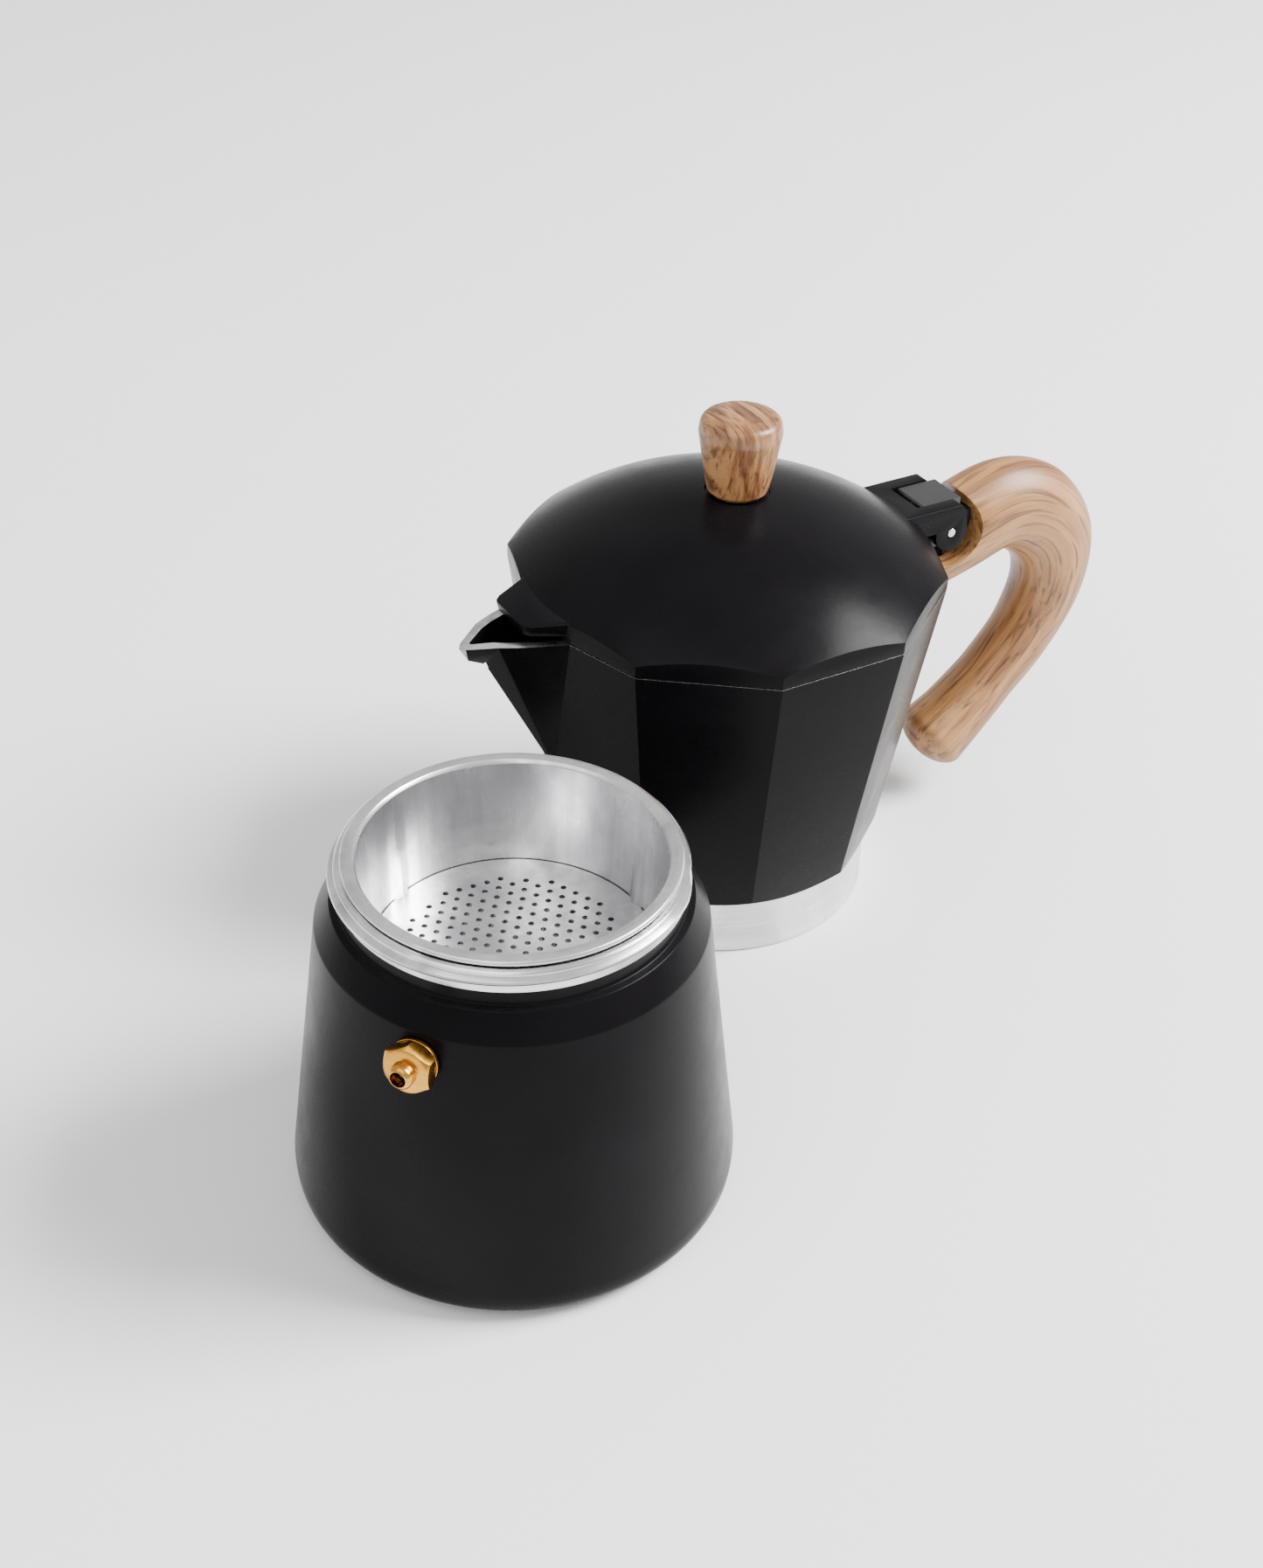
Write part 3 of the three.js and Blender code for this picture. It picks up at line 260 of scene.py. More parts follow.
def joined(base: BMesh, tools: Sequence[tuple[Join, BMesh]]) -> BMesh:
    """Adds shapes to a shape and cuts shapes out of it, in turn.

    Args:
        base: the shape to work on.
        tools: the other shapes, each with how it meets the base.

    Returns:
        The new shape. The old ones are freed.
    """
    target = as_object("work", base)
    helpers = []
    for how, tool in tools:
        helper = as_object("tool", tool)
        helpers.append(helper)
        step = target.modifiers.new("step", "BOOLEAN")
        step.operation = how.value
        step.solver = "EXACT"
        step.object = helper
    ready = target.evaluated_get(bpy.context.evaluated_depsgraph_get())
    made = bpy.data.meshes.new_from_object(ready)
    bm = bmesh.new()
    bm.from_mesh(made)
    for thing in (target, *helpers):
        mesh = thing.data
        bpy.data.objects.remove(thing)
        bpy.data.meshes.remove(mesh)
    bpy.data.meshes.remove(made)
    bmesh.ops.remove_doubles(bm, verts=bm.verts, dist=1e-6)
    bmesh.ops.dissolve_limit(bm, angle_limit=math.radians(0.6), verts=bm.verts, edges=bm.edges)
    return bm


def softened(bm: BMesh, width: float, sharp: float = 28, segments: int = 3) -> BMesh:
    """Rounds every edge that turns by more than sharp degrees, and returns the shape."""
    limit = math.radians(sharp)
    edges = [e for e in bm.edges if e.calc_face_angle(0) > limit]
    bmesh.ops.bevel(
        bm, geom=edges, offset=width * MM, offset_type="OFFSET", segments=segments, profile=0.5,
        affect="EDGES", clamp_overlap=True, material=-1,
    )
    return bm


def sieve(r: float, field_r: float, low: float, high: float, pitch: float, hole_r: float, turn: float) -> BMesh:
    """A round plate with a hexagonal field of small round holes.

    Args:
        r: radius of the plate.
        field_r: radius of the field of holes.
        low: height of the underside.
        high: height of the top.
        pitch: distance between neighbouring holes.
        hole_r: radius of a hole.
        turn: direction of the rows, in degrees.

    Returns:
        The closed plate.
    """
    bm = bmesh.new()
    sides = 12
    row = pitch * math.sin(math.pi / 3)
    reach = math.ceil(field_r / row)
    for j in range(-reach, reach + 1):
        for i in range(-reach - 1, reach + 2):
            x, y = pitch * (i + (j % 2) / 2), row * j
            if math.hypot(x, y) + hole_r > field_r:
                continue
            place = Matrix.Translation(Vector((x, y, 0)) * MM)
            inner = bmesh.ops.create_circle(bm, segments=sides, radius=hole_r * MM, matrix=place)["verts"]
            outer = bmesh.ops.create_circle(bm, segments=sides, radius=pitch / 2 * MM, matrix=place)["verts"]
            for k, vert in enumerate(outer):
                if k % 2 == 0:
                    centre = Vector((x, y, 0)) * MM
                    vert.co = centre + (vert.co - centre) / math.cos(math.pi / 6)
            loops = {e for v in (*inner, *outer) for e in v.link_edges}
            bmesh.ops.bridge_loops(bm, edges=list(loops))
    bmesh.ops.remove_doubles(bm, verts=bm.verts, dist=1e-5)
    hole_edge = 2 * hole_r * math.sin(math.pi / sides) * MM
    cell_edge = pitch / 2 * math.tan(math.pi / 6) * MM
    rims = [e for e in bm.edges if e.is_boundary and e.calc_length() > (hole_edge + cell_edge) / 2]
    rim = bmesh.ops.create_circle(bm, segments=FINE, radius=r * MM)["verts"]
    rims += list({e for v in rim for e in v.link_edges})
    bmesh.ops.triangle_fill(bm, edges=rims, use_beauty=True)
    bmesh.ops.recalc_face_normals(bm, faces=bm.faces)
    grown = bmesh.ops.extrude_face_region(bm, geom=bm.faces[:])["geom"]
    new = [v for v in grown if isinstance(v, bmesh.types.BMVert)]
    bmesh.ops.translate(bm, vec=(0, 0, (high - low) * MM), verts=new)
    bmesh.ops.recalc_face_normals(bm, faces=bm.faces)
    return moved(bm, Matrix.Translation((0, 0, low * MM)) @ Matrix.Rotation(math.radians(turn), 4, "Z"))


# ---------------------------------------------------------------- finishes


class Graph:
    """A material's nodes while they are being wired."""

    def __init__(self, name: str) -> None:
        """Starts a material that holds one Principled shader."""
        self.material = bpy.data.materials.new(name)
        self.material.use_nodes = True
        self.tree = self.material.node_tree
        self.shader = self.tree.nodes["Principled BSDF"]

    def add(self, kind: str, settings: dict[str, object] | None = None, **inputs: object) -> bpy.types.Node:
        """Adds a node.

        Args:
            kind: its type, without the leading ShaderNode.
            settings: properties of the node itself.
            **inputs: values or sockets for its inputs, with underscores for spaces.

        Returns:
            The node.
        """
        node = self.tree.nodes.new("ShaderNode" + kind)
        for key, value in (settings or {}).items():
            setattr(node, key, value)
        for key, value in inputs.items():
            self.feed(node.inputs[key.replace("_", " ")], value)
        return node

    def feed(self, socket: bpy.types.NodeSocket, value: object) -> None:
        """Links a socket or sets its value."""
        if isinstance(value, bpy.types.NodeSocket):
            self.tree.links.new(value, socket)
        else:
            socket.default_value = value

    def place(self, scale: Colour = (1, 1, 1), at: Colour = (0, 0, 0), turn: Colour = (0, 0, 0)) -> object:
        """Object coordinates about a point, scaled and turned."""
        source = self.add("TexCoord").outputs["Object"]
        moved_by = self.add("Mapping", Vector=source, Location=[-v for v in at])
        return self.add("Mapping", Vector=moved_by.outputs[0], Scale=scale, Rotation=turn).outputs[0]

    def noise(self, vector: object, scale: float, detail: float = 4, distortion: float = 0) -> object:
        """Fractal noise between 0 and 1."""
        node = self.add("TexNoise", Vector=vector, Scale=scale, Detail=detail, Distortion=distortion)
        return node.outputs["Fac"]

    def math(self, operation: str, a: object, b: object = 0.0) -> object:
        """One arithmetic step."""
        node = self.add("Math", {"operation": operation})
        self.feed(node.inputs[0], a)
        self.feed(node.inputs[1], b)
        return node.outputs[0]

    def span(self, value: object, low: float, high: float, start: float = 0.3, end: float = 0.7) -> object:
        """Maps a value's middle range onto low to high."""
        keys = {"Value": value, "From Min": start, "From Max": end, "To Min": low, "To Max": high}
        node = self.add("MapRange")
        for key, given in keys.items():
            self.feed(node.inputs[key], given)
        return node.outputs[0]

    def ramp(self, value: object, stops: Sequence[tuple[float, Colour]]) -> object:
        """Colours by a value."""
        node = self.add("ValToRGB", Fac=value)
        elements = node.color_ramp.elements
        while len(elements) < len(stops):
            elements.new(0.5)
        for element, (position, colour) in zip(elements, stops):
            element.position = position
            element.color = (*colour, 1)
        return node.outputs["Color"]

    def mix(self, amount: object, a: object, b: object, blend: str = "MIX") -> object:
        """Blends two colours."""
        node = self.add("MixRGB", {"blend_type": blend})
        for socket, given in zip(node.inputs, (amount, a, b)):
            self.feed(socket, (*given, 1) if isinstance(given, tuple) else given)
        return node.outputs[0]

    def bump(self, height: object, depth: float, normal: object | None = None) -> object:
        """Raises the surface by a height, in millimetres of depth."""
        node = self.add("Bump", Height=height, Distance=depth * MM, Strength=1.0)
        if normal is not None:
            self.feed(node.inputs["Normal"], normal)
        return node.outputs["Normal"]

    def finish(self, **inputs: object) -> bpy.types.Material:
        """Sets the shader's inputs and returns the material."""
        for key, value in inputs.items():
            given = (*value, 1) if isinstance(value, tuple) else value
            self.feed(self.shader.inputs[key.replace("_", " ")], given)
        return self.material


@dataclass(frozen=True)
class BlackPaint:
    """Satin black paint over cast metal, with a faint orange peel."""

    name: str = "satin_black_paint"
    dark: Colour = (0.0026, 0.0022, 0.0028)
    light: Colour = (0.0044, 0.0038, 0.0046)
    smooth: float = 0.23
    rough: float = 0.31

    def build(self) -> bpy.types.Material:
        """Wires the paint."""
        g = Graph(self.name)
        clouds = g.noise(g.place(), 42, 5)
        peel = g.noise(g.place(), 520, 3)
        grit = g.noise(g.place(), 2600, 2)
        normal = g.bump(grit, 0.002, g.bump(peel, 0.010))
        return g.finish(
            Base_Color=g.mix(g.span(clouds, 0, 1), self.dark, self.light),
            Roughness=g.span(g.noise(g.place(), 130, 6), self.smooth, self.rough),
            Normal=normal, Specular_IOR_Level=0.055,
        )


@dataclass(frozen=True)
class TurnedMetal:
    """Bare metal with turning marks round an upright axis, dull patches and light handling marks."""

    name: str
    light: Colour = (0.80, 0.80, 0.81)
    dull: Colour = (0.60, 0.60, 0.61)
    smooth: float = 0.20
    rough: float = 0.42
    axis: tuple[float, float] = (0, 0)
    streaks: Colour = (9, 9, 1900)
    groove: float = 0.012
    metallic: float = 1.0

    def build(self) -> bpy.types.Material:
        """Wires the metal."""
        g = Graph(self.name)
        at = (self.axis[0], self.axis[1], 0)
        marks = g.noise(g.place(self.streaks, at), 1.0, 3)
        patches = g.noise(g.place(), 60, 6, 0.6)
        specks = g.noise(g.place(), 900, 2)
        tone = g.math("ADD", g.math("MULTIPLY", patches, 0.7), g.math("MULTIPLY", marks, 0.3))
        return g.finish(
            Base_Color=g.mix(g.span(tone, 0, 1, 0.35, 0.62), self.dull, self.light),
            Roughness=g.span(tone, self.rough, self.smooth, 0.36, 0.62),
            Metallic=self.metallic,
            Normal=g.bump(specks, 0.004, g.bump(marks, self.groove)),
        )


@dataclass(frozen=True)
class Timber:
    """Honey-coloured wood with brown flowing grain under a satin lacquer.

    The grain runs along the first component of the piece's grain attribute, or along the
    Object coordinates where along_part is false.
    """

    name: str
    along_part: bool
    dark: Colour
    brown: Colour
    honey: Colour
    pale: Colour
    stretch: Colour = (9, 150, 150)
    lines: Colour = (11, 820, 820)
    centre: Colour = (0, 0, 0)
    rough: float = 0.44

    def build(self) -> bpy.types.Material:
        """Wires the wood."""
        g = Graph(self.name)
        if self.along_part:
            source = g.add("Attribute", {"attribute_name": "grain"}).outputs["Vector"]
        else:
            source = g.place(at=self.centre)
        flow = g.noise(g.add("Mapping", Vector=source, Scale=(14, 60, 60)).outputs[0], 1, 2, 0.4)
        push = g.add("CombineXYZ", Y=g.math("MULTIPLY", flow, 0.016), Z=g.math("MULTIPLY", flow, 0.010))
        bent = g.add("VectorMath", {"operation": "ADD"})
        g.feed(bent.inputs[0], source)
        g.feed(bent.inputs[1], push.outputs[0])
        bands = g.noise(g.add("Mapping", Vector=bent.outputs[0], Scale=self.stretch).outputs[0], 1, 5, 0.7)
        rings = g.noise(g.add("Mapping", Vector=bent.outputs[0], Scale=self.lines).outputs[0], 1, 3, 0.3)
        fibres = g.noise(g.add("Mapping", Vector=bent.outputs[0], Scale=(90, 3600, 3600)).outputs[0], 1, 2)
        body = g.ramp(bands, [(0.30, self.brown), (0.44, self.honey), (0.58, self.pale), (0.72, self.honey)])
        lines = g.ramp(rings, [(0.33, self.dark), (0.50, (1, 1, 1)), (0.62, (1, 1, 1))])
        soft = g.mix(0.78, body, g.mix(1.0, body, lines, "MULTIPLY"))
        pores = g.ramp(fibres, [(0.30, (0.62, 0.52, 0.44)), (0.46, (1, 1, 1))])
        return g.finish(
            Base_Color=g.mix(0.45, soft, pores, "MULTIPLY"),
            Roughness=g.span(bands, self.rough - 0.06, self.rough + 0.12),
            Normal=g.bump(rings, 0.03, g.bump(fibres, 0.012)),
            Coat_Weight=0.05, Coat_Roughness=0.3,
        )


@dataclass(frozen=True)
class Moulded:
    """Moulded plastic or rubber with a fine skin."""

    name: str
    dark: Colour
    light: Colour
    smooth: float
    rough: float
    grain: float = 1400
    depth: float = 0.012

    def build(self) -> bpy.types.Material:
        """Wires the skin."""
        g = Graph(self.name)
        clouds = g.noise(g.place(), 160, 4)
        skin = g.noise(g.place(), self.grain, 3)
        return g.finish(
            Base_Color=g.mix(g.span(clouds, 0, 1), self.dark, self.light),
            Roughness=g.span(clouds, self.smooth, self.rough),
            Normal=g.bump(skin, self.depth),
        )


@dataclass
class Finishes:
    """Every finish of the pot, built once."""

    axis: tuple[float, float]
    made: dict[str, bpy.types.Material] = field(default_factory=dict)

    def build(self) -> None:
        """Builds the materials that the pieces share."""
        centre = (self.axis[0] * MM, self.axis[1] * MM)
        plan = {
            "paint": BlackPaint(),
            "bowl": TurnedMetal("spun_aluminium", light=(0.78, 0.78, 0.79), dull=(0.44, 0.44, 0.45),
                                groove=0.012, streaks=(320, 320, 14), smooth=0.2, rough=0.4),
            "neck": TurnedMetal("machined_aluminium", light=(0.92, 0.92, 0.93), dull=(0.36, 0.36, 0.37),
                                smooth=0.12, rough=0.28),
            "ring": TurnedMetal("brushed_aluminium_ring", axis=centre, light=(0.74, 0.74, 0.75), dull=(0.5, 0.5, 0.51),
                                smooth=0.26, rough=0.44, groove=0.02),
            "plain": TurnedMetal("bare_aluminium_inside", axis=centre, smooth=0.3, rough=0.5, groove=0.008),
            "edge": TurnedMetal("rubbed_metal_edge", light=(0.80, 0.80, 0.80), dull=(0.28, 0.28, 0.28),
                                smooth=0.26, rough=0.48, streaks=(400, 400, 400)),
            "brass": TurnedMetal("polished_brass", light=(0.68, 0.35, 0.055), dull=(0.40, 0.18, 0.028),
                                 smooth=0.14, rough=0.34, streaks=(120, 120, 900)),
            "steel": TurnedMetal("plain_steel", light=(0.66, 0.66, 0.67), dull=(0.45, 0.45, 0.46),
                                 smooth=0.18, rough=0.36, streaks=(200, 200, 1500)),
            "plastic": Moulded("black_heatproof_plastic", (0.010, 0.010, 0.011), (0.017, 0.017, 0.018), 0.3, 0.42),
            "silicone": Moulded("off_white_silicone", (0.70, 0.67, 0.62), (0.82, 0.80, 0.76), 0.5, 0.62),
            "handle": Timber("handle_wood", True, (0.15, 0.07, 0.035), (0.13, 0.048, 0.014),
                             (0.27, 0.120, 0.036), (0.40, 0.205, 0.074)),
            "knob": Timber("knob_wood", False, (0.13, 0.055, 0.025), (0.075, 0.026, 0.010),
                           (0.21, 0.088, 0.030), (0.40, 0.200, 0.078), stretch=(330, 40, 60),
                           lines=(1500, 160, 260), centre=(centre[0], centre[1], 0.12), rough=0.34),
        }
        for key, finish in plan.items():
            self.made[key] = finish.build()

    def __getitem__(self, key: str) -> bpy.types.Material:
        """The material of a name."""
        return self.made[key]


# ---------------------------------------------------------------- bench


@dataclass
class Bench:
    """Puts finished shapes into the scene and ties them to the frame."""

    finishes: Finishes
    axis: tuple[float, float]

    def put(
        self, name: str, bm: BMesh, body: Body, finish: Sequence[str],
        nodes: Sequence[str] = (), pick: Callable[[BMFace], int] | None = None,
        smooth: float = 32, on_collector: bool = False,
    ) -> bpy.types.Object:
        """Makes a piece of a shape.

        Args:
            name: the piece's name.
            bm: its shape, which is freed.
            body: the body that it moves with.
            finish: names of its finishes.
            nodes: the CAD nodes that it stands for.
            pick: gives the finish's index for a face.
            smooth: edges below this many degrees are shaded smooth.
            on_collector: whether the shape is about the collector's axis.

        Returns:
            The piece.
        """
        limit = math.radians(smooth)
        for face in bm.faces:
            face.smooth = True
            face.material_index = pick(face) if pick else 0
        for edge in bm.edges:
            edge.smooth = edge.calc_face_angle(0) < limit
        if on_collector:
            shifted(bm, *self.axis)
        piece = as_object(name, bm)
        for key in finish:
            piece.data.materials.append(self.finishes[key])
        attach(piece, body.value)
        if nodes:
            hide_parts(*nodes)
        LOG.info("%s: %d faces", name, len(piece.data.polygons))
        return piece

    def dress(self, node: str, finish: str) -> None:
        """Gives a carried-over CAD node its finish."""
        mesh = bpy.data.objects[node].data
        mesh.materials.clear()
        mesh.materials.append(self.finishes[finish])


# ---------------------------------------------------------------- boiler


@dataclass
class Boiler:
    """The tapered water chamber with its threaded neck."""

    foot_r: float = 50
    foot_round: float = 20
    foot_h: float = 8.4
    foot_power: float = 4
    shoulder_r: float = 41.9
    shoulder_z: float = 71.8
    chamfer_h: float = 6
    neck_z: float = 86.6
    bore_r: float = 33.6
    root_r: float = 37.1
    thread_r: float = 38.4
    pitch: float = 2.8
    wall: float = 3
    floor: float = 3.5
    paint_top: float = 81.7

    def outline(self) -> list[Corner]:
        """The half section from the middle of the base round to the middle of the inner floor."""
        points: list[Corner] = [(0, 0)]
        arcs = 20
        for i in range(arcs + 1):
            a = i / arcs * math.pi / 2
            out = self.foot_round * math.sin(a) ** (2 / self.foot_power)
            up = self.foot_h * (1 - math.cos(a) ** (2 / self.foot_power))
            points.append((self.foot_r - self.foot_round + out, up))
        relief = self.root_r - 0.2
        top = self.shoulder_z + self.chamfer_h
        points += [
            (self.shoulder_r, self.shoulder_z, 1.6),
            (self.thread_r, top, 0.5),
            (relief, top + 0.5, 0.4),
            (relief, self.paint_top - 0.2, 0.1),
            (self.root_r, self.paint_top, 0.1),
            (self.root_r, self.neck_z - 0.5, 0.4),
            (self.root_r - 0.5, self.neck_z, 0.2),
            (self.bore_r, self.neck_z, 0.3),
            (self.bore_r, self.shoulder_z + 3, 1.5),
            (self.shoulder_r - self.wall, self.shoulder_z - 4, 2),
            (self.foot_r - self.wall, self.foot_h + 2, 2),
            (self.foot_r - self.wall - 5, self.floor, 5),
            (0, self.floor),
        ]
        return points

    def thread(self) -> BMesh:
        """The helical ridge round the neck, fading out at both ends."""
        bm = bmesh.new()
        start = self.neck_z - 4.9 + 1.15
        section = [(self.root_r - 0.25, -1.1), (self.root_r + 0.35, -0.85), (self.thread_r - 0.15, -0.38),
                   (self.thread_r, 0), (self.thread_r - 0.15, 0.38), (self.root_r + 0.35, 0.85),
                   (self.root_r - 0.25, 1.1)]
        verts = [bm.verts.new((r * MM, 0, (start + z) * MM)) for r, z in section]
        face = bm.faces.new(verts)
        turns, steps = 0.92, 120
        bmesh.ops.spin(
            bm, geom=[face, *face.edges, *verts], cent=(0, 0, 0), axis=(0, 0, 1),
            dvec=(0, 0, self.pitch * turns / steps * MM), angle=math.tau * turns, steps=steps,
            use_duplicate=False,
        )
        for vert in bm.verts:
            a = math.atan2(vert.co.y, vert.co.x) % math.tau
            fade = min(1.0, a / 0.35, max(0.0, math.tau * turns - a) / 0.35)
            r = math.hypot(vert.co.x, vert.co.y)
            low = (self.root_r - 0.25) * MM
            scale = (low + (r - low) * max(0.08, fade)) / r
            vert.co.x *= scale
            vert.co.y *= scale
        bmesh.ops.recalc_face_normals(bm, faces=bm.faces)
        return bm

    def finish_of(self, face: BMFace) -> int:
        """Paint outside and below the neck, bare metal on the neck and inside."""
        centre = face.calc_center_median() / MM
        r = math.hypot(centre.x, centre.y)
        if centre.z > self.paint_top - 0.1:
            return 1
        if centre.z > self.shoulder_z:
            return 2 if r < self.bore_r + 1 else 0
        inward = face.normal.xy.dot(centre.xy) < -0.1 * r
        return 2 if inward or face.normal.z > 0.5 else 0

    def build(self, bench: Bench, valve_hole: BMesh) -> None:
        """Makes the shell and its thread.

        Args:
            bench: where the pieces go.
            valve_hole: the hole for the safety valve.
        """
        shell = joined(turned(rounded(self.outline(), 6)), [(Join.CUT, valve_hole)])
        bench.put("boiler_shell_fine", shell, Body.BOILER, ["paint", "neck", "plain"],
                  ["boiler_shell"], self.finish_of)
        bench.put("neck_thread", self.thread(), Body.BOILER, ["neck"])


@dataclass
class SafetyValve:
    """The brass relief valve on the boiler's wall."""

    angle: float = -143.5
    tilt: float = 7.28
    radius: float = 42.69
    height: float = 65.6
    across_flats: float = 10
    thick: float = 3.6
    back: float = 1.5
    nose_r: float = 2.7
    nose_h: float = 2.8
    shank_r: float = 4
    shank_in: float = 7
    chamber_r: float = 2.6
    pin_r: float = 0.9

    def frame(self) -> Matrix:
        """Carries a shape made about +Z onto the wall, square to it."""
        a = math.radians(self.angle)
        at = Vector((self.radius * math.cos(a), self.radius * math.sin(a), self.height)) * MM
        lean = Matrix.Rotation(math.radians(90 - self.tilt), 4, "Y")
        return Matrix.Translation(at) @ Matrix.Rotation(a, 4, "Z") @ lean

    def hole(self) -> BMesh:
        """The hole that the shank passes through."""
        return moved(disc(self.shank_r + GAP, -9, 9), self.frame())

    def body(self) -> BMesh:
        """The hexagon with its rounded front, domed nose and drilled shank."""
        front = self.back + self.thick
        corner = self.across_flats / 2 / math.cos(math.pi / 6)
        crown = [(0, self.back), (corner - 0.5, self.back, 0.3), (corner + 0.15, self.back + 0.6, 0.5),
                 (corner + 0.15, front - 1.2, 0.8), (corner - 0.9, front - 0.3, 0.7), (self.nose_r + 1, front),
                 (0, front)]
        hexagon = facet_cut(turned(rounded(crown), 96), corner, self.back, 0, 6)
        nose = [(0, -self.shank_in), (self.shank_r, -self.shank_in, 0.3), (self.shank_r, self.back + 0.4),
                (self.nose_r, self.back + 1), (self.nose_r, front + self.nose_h, 1.9), (0, front + self.nose_h)]
        bore = disc(self.pin_r + GAP, -20, 20, 32)
        tip = front + self.nose_h
        made = joined(hexagon, [
            (Join.ADD, turned(rounded(nose), SMALL)),
            (Join.CUT, disc(self.chamber_r, -20, self.back + 1)),
            (Join.CUT, bore),
            (Join.CUT, turned([(0, tip - 1.5), (self.pin_r + GAP, tip - 1.5), (1.8, tip + 0.1), (0, tip + 0.1)], 32)),
        ])
        return moved(softened(made, 0.2, 24, 2), self.frame())

    def pin(self) -> BMesh:
        """The valve's pin with its plug."""
        plug = -self.shank_in
        tip = self.back + self.thick + self.nose_h - 1.9
        r = self.chamber_r - SLIDE
        outline = [(0, plug), (r, plug, 0.2), (r, plug + 1.6, 0.3), (self.pin_r, plug + 1.6),
                   (self.pin_r, tip, 0.4), (0, tip)]
        return moved(turned(rounded(outline), 32), self.frame())

    def build(self, bench: Bench) -> None:
        """Makes the valve's pieces."""
        bench.put("valve_body_fine", self.body(), Body.BOILER, ["brass"], ["valve_body"])
        ring = moved(washer(self.shank_r + GAP, self.shank_r + 1.2, GAP, GAP + 0.9), self.frame())
        bench.put("valve_washer_fine", ring, Body.BOILER, ["brass"], ["valve_washer"])
        bench.put("valve_pin_fine", self.pin(), Body.PLUNGER, ["steel"], ["valve_pin"])
        bench.dress("valve_seat", "brass")
        bench.dress("valve_spring", "steel")


# ---------------------------------------------------------------- funnel


@dataclass
class Funnel:
    """The lift-out coffee basket with its sieve plate and tube."""

    rim_r: float = 32.4
    low_r: float = 31
    sheet: float = 0.7
    seat: float = 86.9
    bead_r: float = 35.8
    top: float = 88.2
    ledge_z: float = 60.8
    ledge_r: float = 28.5
    cone_foot: float = 53.8
    collar_r: float = 6
    collar_foot: float = 45.8
    tube_r: float = 5.7
    tube_wall: float = 0.8
    tube_foot: float = 8
    plate_r: float = 30.75
    plate_t: float = 0.8
    hole_pitch: float = 3.3
    hole_r: float = 0.7
    row_angle: float = -4
    crimps: tuple[float, float] = (116.5, 2)
    crimp_in: float = 1.8

    def bowl(self) -> BMesh:
        """The pressed bowl with its rolled rim, and a crimp at each side of the plate."""
        t = self.sheet
        outline = [
            (self.low_r + 0.4, 74), (self.low_r, self.ledge_z + 0.6, 0.5), (self.low_r - 0.2, self.ledge_z, 0.3),
            (self.ledge_r, self.ledge_z, 0.6), (self.collar_r, self.cone_foot, 1.5), (self.collar_r, self.collar_foot),
            (self.collar_r + t, self.collar_foot), (self.collar_r + t, self.cone_foot - t, 1.5),
            (self.ledge_r + 0.4, self.ledge_z - t, 0.6), (self.low_r + t - 0.4, self.ledge_z - t, 0.4),
            (self.low_r + t, self.ledge_z, 0.4), (self.rim_r + t, self.seat, 0.2), (self.bead_r - 0.3, self.seat, 0.4),
            (self.bead_r, self.seat + 0.55, 0.5), (self.bead_r - 0.45, self.top - 0.15, 0.4),
            (self.bead_r - 1.5, self.top, 0.8), (self.rim_r + 0.6, self.top - 0.2, 0.7),
            (self.rim_r, self.top - 1, 0.6), (self.low_r + 0.4, 74),
        ]
        bm = turned(rounded(outline, 4)[:-1], closed=True)
        for angle in self.crimps:
            a = math.radians(angle)
            spot = Vector((self.low_r * math.cos(a), self.low_r * math.sin(a), self.ledge_z + 1.9)) * MM
            for vert in bm.verts:
                near = (vert.co - spot).length / (3 * MM)
                if near < 1:
                    inward = -Vector((math.cos(a), math.sin(a), 0))
                    vert.co += inward * self.crimp_in * MM * (1 - near * near) ** 2
        return bm

    def build(self, bench: Bench) -> None:
        """Makes the bowl, the tube and the sieve plate."""
        bench.put("funnel_bowl_fine", self.bowl(), Body.FUNNEL, ["bowl"], ["funnel_bowl"])
        inner = self.tube_r - self.tube_wall
        tube = washer(inner, self.tube_r, self.tube_foot, self.cone_foot - 2 * GAP)
        bench.put("funnel_tube_fine", tube, Body.FUNNEL, ["bowl"], ["funnel_tube"])
        low = self.ledge_z + GAP
        plate = sieve(self.plate_r, 25.4, low, low + self.plate_t, self.hole_pitch, self.hole_r, self.row_angle)
        bench.put("funnel_plate_fine", plate, Body.FUNNEL, ["bowl"], ["funnel_plate"])


# ---------------------------------------------------------------- collector


